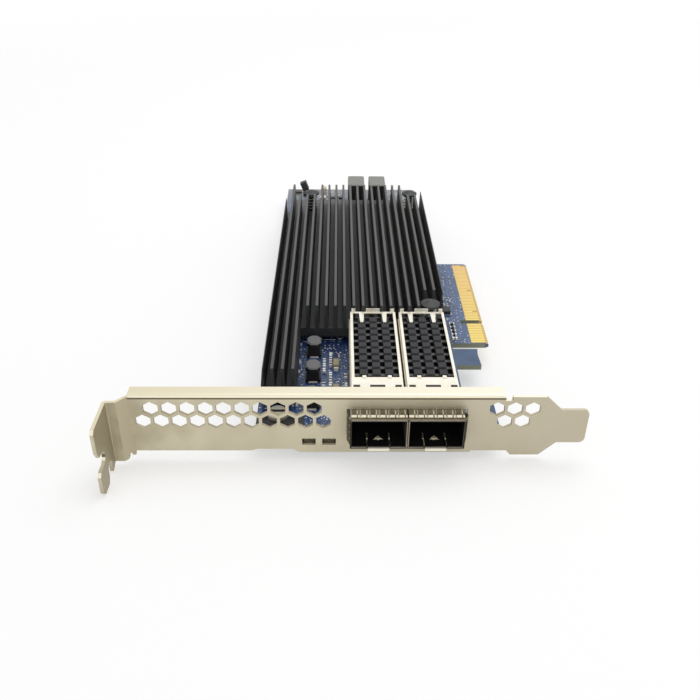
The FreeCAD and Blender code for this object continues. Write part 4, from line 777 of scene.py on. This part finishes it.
def add_tantalum(mesh, low, high):
    """A moulded block whose flat terminals come out at both ends and turn under it."""
    body, metal = 0, 1
    lead = 0.55 * MM
    lift = 0.1 * MM
    side_share = 0.14
    height_share = 0.6
    side = (high[X] - low[X]) * side_share
    lead_top = low[Z] + (high[Z] - low[Z]) * height_share
    shoulder = low.copy()
    crown = high.copy()
    shoulder[Y] += lead
    crown[Y] -= lead
    shoulder[Z] += lift
    add_block(mesh, shoulder, crown, body)
    for front, back in ((low[Y], shoulder[Y]), (crown[Y], high[Y])):
        add_block(mesh, (low[X] + side, front, low[Z]), (high[X] - side, back, lead_top),
                  metal)


def wind_spring(mesh, low, high, gauge, turns):
    """A spring of round wire that fills a box, from its foot to its top."""
    steps_in_a_turn = 20
    sides = 8
    steps = turns * steps_in_a_turn
    middle = (low + high) / 2
    radius = (high[X] - low[X]) / 2 - gauge
    rings = []
    for step in range(steps + 1):
        angle = 2 * math.pi * turns * step / steps
        rise = low[Z] + gauge + (high[Z] - low[Z] - gauge * 2) * step / steps
        out = Vector((math.cos(angle), math.sin(angle), 0))
        ring = []
        for side in range(sides):
            lean = 2 * math.pi * side / sides
            reach = radius + gauge * math.cos(lean)
            ring.append(mesh.verts.new((middle[X] + out[X] * reach,
                                        middle[Y] + out[Y] * reach,
                                        rise + gauge * math.sin(lean))))
        rings.append(ring)
    for here, following in zip(rings, rings[1:]):
        for side in range(sides):
            other = (side + 1) % sides
            face = mesh.faces.new((here[side], following[side], following[other],
                                   here[other]))
            face.smooth = True
    mesh.faces.new(rings[0])
    mesh.faces.new(reversed(rings[-1]))


def finish_piece(name, mesh, slots, replaced=()):
    """Turn a mesh into a piece of the card with its finishes."""
    data = bpy.data.meshes.new(name)
    mesh.to_mesh(data)
    mesh.free()
    piece = bpy.data.objects.new(name, data)
    bpy.context.scene.collection.objects.link(piece)
    for slot_name in slots:
        data.materials.append(made_finishes[slot_name])
    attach(piece, "root")
    if replaced:
        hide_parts(*replaced)


def solid_boxes(node):
    """The box of each separate solid of a CAD node, from front to rear."""
    mesh = bmesh.new()
    mesh.from_mesh(cad[node].data)
    bmesh.ops.remove_doubles(mesh, verts=mesh.verts, dist=0.001 * MM)
    left = set(mesh.verts)
    boxes = []
    while left:
        reached = [left.pop()]
        for vertex in reached:
            for edge in vertex.link_edges:
                other = edge.other_vert(vertex)
                if other in left:
                    left.remove(other)
                    reached.append(other)
        places = [vertex.co for vertex in reached]
        low = Vector(min(place[axis] for place in places) for axis in (X, Y, Z))
        high = Vector(max(place[axis] for place in places) for axis in (X, Y, Z))
        boxes.append((low, high))
    mesh.free()
    return sorted(boxes, key=lambda box: (round(box[0][Y], 5), round(box[0][X], 5)))


# The bare board, and what may stand on it

def keep_outs(nodes, margin):
    """Footprints on the board with a margin: left, right, front and rear."""
    areas = []
    for node in nodes:
        for low, high in solid_boxes(node):
            areas.append((low[X] - margin, high[X] + margin, low[Y] - margin,
                          high[Y] + margin))
    return areas


def bare_areas():
    """Bare parts of the board: left, right, front, rear and how densely each is filled."""
    sink_low, sink_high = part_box("heat_sink")
    cage_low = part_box("port_cage_left")[0]
    cage_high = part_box("port_cage_right")[1]
    choke_low, choke_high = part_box("power_chokes")
    board_low, board_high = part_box("circuit_board")
    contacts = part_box("edge_contacts")[0]
    left_of_chokes = (choke_low[X] - 4.6 * MM, choke_low[X] - 0.5 * MM,
                      board_low[Y] + 4 * MM, cage_low[Y] + 50 * MM, 0.3)
    right_of_chokes = (choke_high[X] + 0.4 * MM, cage_low[X] - 0.5 * MM,
                       board_low[Y] + 3 * MM, cage_low[Y] + 47 * MM, 0.2)
    by_contacts = (cage_high[X] + 1.4 * MM, contacts[X] - 2.2 * MM,
                   contacts[Y] - 0.5 * MM, contacts[Y] + 29 * MM, 0.8)
    behind_sink = (sink_low[X] + 4 * MM, sink_high[X] - MM,
                   sink_high[Y] + 2 * MM, board_high[Y] - 2 * MM, 0.22)
    return left_of_chokes, right_of_chokes, by_contacts, behind_sink


def on_board(board, x, y, reach):
    """Whether the board lies under all four corners of a square."""
    start = 5 * MM
    depth = 5.5 * MM
    for left in (x - reach, x + reach):
        for front in (y - reach, y + reach):
            hit = board.ray_cast(Vector((left, front, start)), Vector((0, 0, -1)), depth)
            if hit[0] is None:
                return False
    return True


def is_taken(taken, x, y, reach):
    """Whether a place is nearer than its reach to a footprint that is kept clear."""
    return any(left - reach < x < right + reach and front - reach < y < back + reach
               for left, right, front, back in taken)


def free_places(board, taken, area, length, chooser):
    """Free places of one area, each with a number from 0 to 1 that picks what stands."""
    left, right, front, back = area
    half_width = length * 0.5
    column_step = length * 1.05
    row_step = length * 1.3
    for column in range(int((right - left) / column_step)):
        for row in range(int((back - front) / row_step)):
            x = left + column_step * (column + 0.5)
            y = front + row_step * (row + 0.5)
            pick = chooser.random()
            if not is_taken(taken, x, y, half_width) and on_board(board, x, y, length):
                yield x, y, pick


class CardFinishes(bpy.types.PropertyGroup):
    """Sizes and colours a user may change."""

    wire_gauge: FloatProperty(
        name="Spring wire", description="Diameter of the push pins' spring wire",
        default=0.45 * MM, unit="LENGTH")
    spring_turns: IntProperty(
        name="Spring turns", description="Turns of each push pin's spring", default=5)
    chip_length: FloatProperty(
        name="Small chip", description="Length of the small chip parts",
        default=1.0 * MM, unit="LENGTH")
    chip_share: FloatProperty(
        name="Filled share", description="Share of the free places that hold a small part",
        default=0.3, min=0.0, max=1.0)
    floor_colour: FloatVectorProperty(
        name="Floor", description="Colour of the floor", subtype="COLOR",
        size=4, default=(1.0, 1.0, 1.0, 1.0))
    key_power: FloatProperty(
        name="Key lamp", description="Power of the large lamp over the card",
        default=3.0, unit="POWER")


class CARD_OT_finishes(bpy.types.Operator):
    """Give every CAD piece its finish"""

    bl_idname = "card.finishes"
    bl_label = "Finishes"

    def execute(self, context):
        made_finishes.update(finishes())
        for entry in frame["record"]["subparts"]:
            piece = cad[entry["node"]]
            piece.data.materials.clear()
            piece.data.materials.append(made_finishes[entry["material_slot"]])
        return {"FINISHED"}


class CARD_OT_springs(bpy.types.Operator):
    """Wind each push pin's spring from round wire"""

    bl_idname = "card.springs"
    bl_label = "Pin springs"

    def execute(self, context):
        settings = context.scene.card_settings
        mesh = bmesh.new()
        for low, high in solid_boxes("pin_springs"):
            wind_spring(mesh, low, high, settings.wire_gauge / 2, settings.spring_turns)
        finish_piece("round_wire_springs", mesh, ["spring_wire"], ["pin_springs"])
        return {"FINISHED"}


class CARD_OT_capacitors(bpy.types.Operator):
    """Give the ceramic and tantalum capacitors their metal ends"""

    bl_idname = "card.capacitors"
    bl_label = "Capacitors"

    def execute(self, context):
        end_shares = (0.22, 0.3, 0.4)
        chooser = random.Random(3)
        for node, name in (("ceramic_capacitors", "board_capacitors"),
                           ("underside_capacitors", "decoupling_capacitors")):
            mesh = bmesh.new()
            for low, high in solid_boxes(node):
                add_chip(mesh, low, high, terminal=chooser.choice(end_shares),
                         body=chooser.choice((CERAMIC, GLAZE)))
            finish_piece(name, mesh, CHIP_SLOTS, [node])
        mesh = bmesh.new()
        for low, high in solid_boxes("tantalum_capacitors"):
            add_tantalum(mesh, low, high)
        body_edges = [edge for edge in mesh.edges
                      if edge.link_faces[0].material_index == 0]
        bmesh.ops.bevel(mesh, geom=body_edges, offset=0.18 * MM, segments=1,
                        affect="EDGES")
        finish_piece("moulded_tantalums", mesh, ["tantalum_black", "terminal_tin"],
                     ["tantalum_capacitors"])
        return {"FINISHED"}


class CARD_OT_small_parts(bpy.types.Operator):
    """Scatter the small chip parts and test points over the bare board"""

    bl_idname = "card.small_parts"
    bl_label = "Small parts"

    def execute(self, context):
        settings = context.scene.card_settings
        length = settings.chip_length
        width = length * 0.5
        height = length * 0.4
        pad_height = 0.03 * MM
        pads_from = 0.6
        smallest, largest = 0.13, 0.24
        scatter = 0.35
        taken = keep_outs(["ceramic_capacitors", "tantalum_capacitors", "power_chokes",
                           "logic_chip", "bead_inductors", "power_stages", "pin_header",
                           "wire_header", "bracket_screws"], 0.6 * MM)
        board = BVHTree.FromObject(cad["circuit_board"],
                                   context.evaluated_depsgraph_get())
        chooser = random.Random(7)
        parts = bmesh.new()
        points = bmesh.new()
        for *area, density in bare_areas():
            for x, y, pick in free_places(board, taken, area, length, chooser):
                if pick < settings.chip_share * density:
                    body = CERAMIC if chooser.random() < 0.5 else GLAZE
                    add_chip(parts, (x - width / 2, y - length / 2, 0),
                             (x + width / 2, y + length / 2, height),
                             terminal=0.3, body=body)
                elif pick > pads_from:
                    radius = chooser.uniform(smallest, largest) * MM
                    shift = chooser.uniform(-scatter, scatter) * MM
                    add_disc(points, x + shift, y - shift, pad_height, radius, sides=8)
        finish_piece("small_chip_parts", parts, CHIP_SLOTS)

        column_step_mm = 1.3
        row_step_mm = 1.4
        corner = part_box("power_chokes")[1]
        for row in range(2):
            for column in range(3):
                add_disc(points, corner[X] + (1.0 + column_step_mm * column) * MM,
                         corner[Y] + (2.0 - row_step_mm * row) * MM, pad_height,
                         0.2 * MM, sides=8)
        finish_piece("test_points", points, ["terminal_tin"])
        return {"FINISHED"}


class CARD_OT_rear_parts(bpy.types.Operator):
    """Set the low parts behind the heat sink, by the two headers"""

    bl_idname = "card.rear_parts"
    bl_label = "Rear parts"

    def execute(self, context):
        glazed, cream, ceramic = 0, 1, 2
        low_height = 0.7 * MM
        height = 0.8 * MM
        glazed_width = 2.1 * MM
        glazed_step_mm = 3.0
        wire_low, wire_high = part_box("wire_header")
        pin_low, pin_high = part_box("pin_header")
        mesh = bmesh.new()
        for column in range(2):
            left = wire_high[X] + (1.4 + glazed_step_mm * column) * MM
            add_block(mesh, (left, wire_low[Y] - 7.0 * MM, 0),
                      (left + glazed_width, wire_low[Y] - 5.4 * MM, low_height), glazed)
        add_block(mesh, (wire_low[X] - 0.3 * MM, wire_low[Y] - 7.2 * MM, 0),
                  (wire_high[X] - 0.3 * MM, wire_low[Y] - 5.2 * MM, height), cream)
        add_block(mesh, (pin_low[X] - 4.7 * MM, pin_high[Y] + 0.5 * MM, 0),
                  (pin_low[X] - 0.8 * MM, pin_high[Y] + 2.6 * MM, height), ceramic)
        finish_piece("rear_chip_parts", mesh,
                     ["resistor_glaze", "header_cream", "ceramic_tan"])
        return {"FINISHED"}


class CARD_OT_legend(bpy.types.Operator):
    """Print the white frame round the logic chip, a line and a dot"""

    bl_idname = "card.legend"
    bl_label = "Legend"

    def execute(self, context):
        ink = 0.18 * MM
        thick = 0.02 * MM
        bold = ink * 1.6
        dot_radius = 0.5 * MM
        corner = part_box("power_chokes")[1]
        mesh = bmesh.new()
        for left, right, front, back in keep_outs(["logic_chip"], 0.3 * MM):
            add_block(mesh, (left, front, 0), (right, front + ink, thick))
            add_block(mesh, (left, back - ink, 0), (right, back, thick))
            add_block(mesh, (left, front, 0), (left + ink, back, thick))
            add_block(mesh, (right - ink, front, 0), (right, back, thick))
        line = corner[Y] + 5.2 * MM
        add_block(mesh, (corner[X] + 0.6 * MM, line, 0),
                  (corner[X] + 4.2 * MM, line + bold, thick))
        add_disc(mesh, corner[X] + 5.4 * MM, line + 0.6 * MM, thick, dot_radius)
        finish_piece("legend_lines", mesh, ["silk_white"])
        return {"FINISHED"}


class CARD_OT_choke_feet(bpy.types.Operator):
    """Put a solder foot at the front and the rear of each choke"""

    bl_idname = "card.choke_feet"
    bl_label = "Choke feet"

    def execute(self, context):
        reach = 1.2 * MM
        height = 0.35 * MM
        near, far = 0.1 * MM, 0.7 * MM
        mesh = bmesh.new()
        for low, high in solid_boxes("power_chokes"):
            middle = (low[X] + high[X]) / 2
            for front, back in ((low[Y] + near, low[Y] + far),
                                (high[Y] - far, high[Y] - near)):
                add_block(mesh, (middle - reach, front, 0), (middle + reach, back, height))
        finish_piece("choke_solder_feet", mesh, ["terminal_tin"])
        return {"FINISHED"}


class CARD_OT_slit_shade_blocks(bpy.types.Operator):
    """Close the slits on both sides of each status light with dark blocks, as painted shade
    """

    bl_idname = "card.lamp_holders"
    bl_label = "Slit shade blocks"

    def execute(self, context):
        # Dark blocks in the slits beside each status light: painted shade.
        width = 0.45 * MM
        mesh = bmesh.new()
        for low, high in solid_boxes("status_lights"):
            for left, right in ((low[X] - width, low[X]), (high[X], high[X] + width)):
                add_block(mesh, (left, low[Y], low[Z]), (right, high[Y], high[Z]))
        finish_piece("slit_shade_blocks", mesh, ["socket_black"])
        return {"FINISHED"}


# The stage

def direct_rays(tree):
    """1 for what is seen straight on, through a clear surface or in a mirror."""
    rays = add_node(tree, "ShaderNodeLightPath")
    return any_of(tree, rays.outputs["Is Camera Ray"], rays.outputs["Is Transmission Ray"],
                  rays.outputs["Is Glossy Ray"])


def lay_floor(context, colour):
    """A matt floor that keeps the card's shadow and turns plain away from the card."""
    clearance = 0.2 * MM
    plain_from, all_plain = 0.15, 0.6
    bpy.ops.mesh.primitive_plane_add(size=6.0, location=(0, 0, cad_box[0][Z] - clearance))
    floor = context.object
    floor.name = "floor"
    material, tree, shader = start_finish("matt_paper_floor", "#FFFFFF",
                                          metallic=0.0, roughness=1.0)
    shader.inputs["Base Color"].default_value = colour
    shader.inputs["Specular IOR Level"].default_value = 0.0
    glow = add_node(tree, "ShaderNodeEmission", {"Color": colour, "Strength": 1.0})
    coordinates = add_node(tree, "ShaderNodeTexCoord")
    reach = add_node(tree, "ShaderNodeVectorMath", {"operation": "LENGTH"},
                     {0: coordinates.outputs["Object"]})
    fade = add_node(tree, "ShaderNodeMapRange",
                    {"From Min": plain_from, "From Max": all_plain, "To Min": 0.5,
                     "To Max": 1.0}, {"Value": reach.outputs["Value"]})
    seen = all_of(tree, fade.outputs["Result"], direct_rays(tree))
    mixed = add_node(tree, "ShaderNodeMixShader", {},
                     {0: seen, 1: shader.outputs["BSDF"], 2: glow.outputs["Emission"]})
    tree.links.new(mixed.outputs["Shader"], tree.nodes["Material Output"].inputs["Surface"])
    floor.data.materials.append(material)


def light_world(context):
    """A pale world that lights the card at a plain level and is seen as white."""
    lighting, seen_level = 0.62, 1.0
    world = bpy.data.worlds.new("pale_studio")
    context.scene.world = world
    world.use_nodes = True
    tree = world.node_tree
    background = tree.nodes["Background"]
    background.inputs["Color"].default_value = (1, 1, 1, 1)
    level = add_node(tree, "ShaderNodeMapRange", {"To Min": lighting, "To Max": seen_level},
                     {"Value": direct_rays(tree)})
    tree.links.new(level.outputs["Result"], background.inputs["Strength"])


def hang_lamp(context, name, place, aim, size, power):
    """A square lamp that points from its place to its aim."""
    data = bpy.data.lights.new(name, "AREA")
    data.size = size
    data.energy = power
    lamp = bpy.data.objects.new(name, data)
    context.scene.collection.objects.link(lamp)
    lamp.location = place
    lamp.rotation_euler = (Vector(aim) - Vector(place)).to_track_quat("-Z", "Y").to_euler()


def set_camera(context):
    """The camera before the card and above it, turned and rolled by a degree or so."""
    down = math.radians(32.947)
    turn = math.radians(1.572)
    roll = math.radians(0.993)
    ahead = Vector((math.sin(turn) * math.cos(down), math.cos(turn) * math.cos(down),
                    -math.sin(down)))
    level_right = ahead.cross(Vector((0, 0, 1))).normalized()
    level_up = level_right.cross(ahead)
    right = level_right * math.cos(roll) + level_up * math.sin(roll)
    up = level_up * math.cos(roll) - level_right * math.sin(roll)
    data = bpy.data.cameras.new("camera")
    data.sensor_width = 36.0
    data.lens = 41.71
    data.shift_x = -0.0096
    data.shift_y = 0.0044
    data.clip_start = 0.005
    data.clip_end = 20.0
    camera = bpy.data.objects.new("camera", data)
    context.scene.collection.objects.link(camera)
    basis = Matrix((right, up, -ahead)).transposed().to_4x4()
    basis.translation = Vector((-45.363, -218.311, 129.796)) * MM
    camera.matrix_world = basis
    context.scene.camera = camera
    context.scene.view_settings.view_transform = "Standard"


class CARD_OT_stage(bpy.types.Operator):
    """Set the floor, the lamps and the camera"""

    bl_idname = "card.stage"
    bl_label = "Stage"

    def execute(self, context):
        settings = context.scene.card_settings
        front_share = 0.22
        lay_floor(context, settings.floor_colour)
        light_world(context)
        hang_lamp(context, "key_lamp", place=(0.12, 0.2, 0.75), aim=(-0.02, 0, 0),
                  size=0.7, power=settings.key_power)
        hang_lamp(context, "front_lamp", place=(-0.05, -0.8, 0.35),
                  aim=(-0.04, -0.05, 0), size=0.5, power=settings.key_power * front_share)
        set_camera(context)
        return {"FINISHED"}


class CARD_PT_panel(bpy.types.Panel):
    """Buttons for dressing the card"""

    bl_idname = "CARD_PT_panel"
    bl_label = "Network Card"
    bl_space_type = "VIEW_3D"
    bl_region_type = "UI"
    bl_category = "Network Card"

    def draw(self, context):
        settings = context.scene.card_settings
        for name in CardFinishes.__annotations__:
            self.layout.prop(settings, name)
        for operator in OPERATORS:
            self.layout.operator(operator.bl_idname)


OPERATORS = (CARD_OT_finishes, CARD_OT_springs, CARD_OT_capacitors, CARD_OT_small_parts,
             CARD_OT_rear_parts, CARD_OT_legend, CARD_OT_choke_feet, CARD_OT_slit_shade_blocks,
             CARD_OT_stage)
CLASSES = (CardFinishes, *OPERATORS, CARD_PT_panel)


def register():
    for item in CLASSES:
        bpy.utils.register_class(item)
    bpy.types.Scene.card_settings = PointerProperty(type=CardFinishes)


def unregister():
    del bpy.types.Scene.card_settings
    for item in reversed(CLASSES):
        bpy.utils.unregister_class(item)


def main():
    register()
    for operator in OPERATORS:
        group, name = operator.bl_idname.split(".")
        getattr(getattr(bpy.ops, group), name)()
    bpy.context.view_layer.update()


if __name__ == "__main__":
    main()
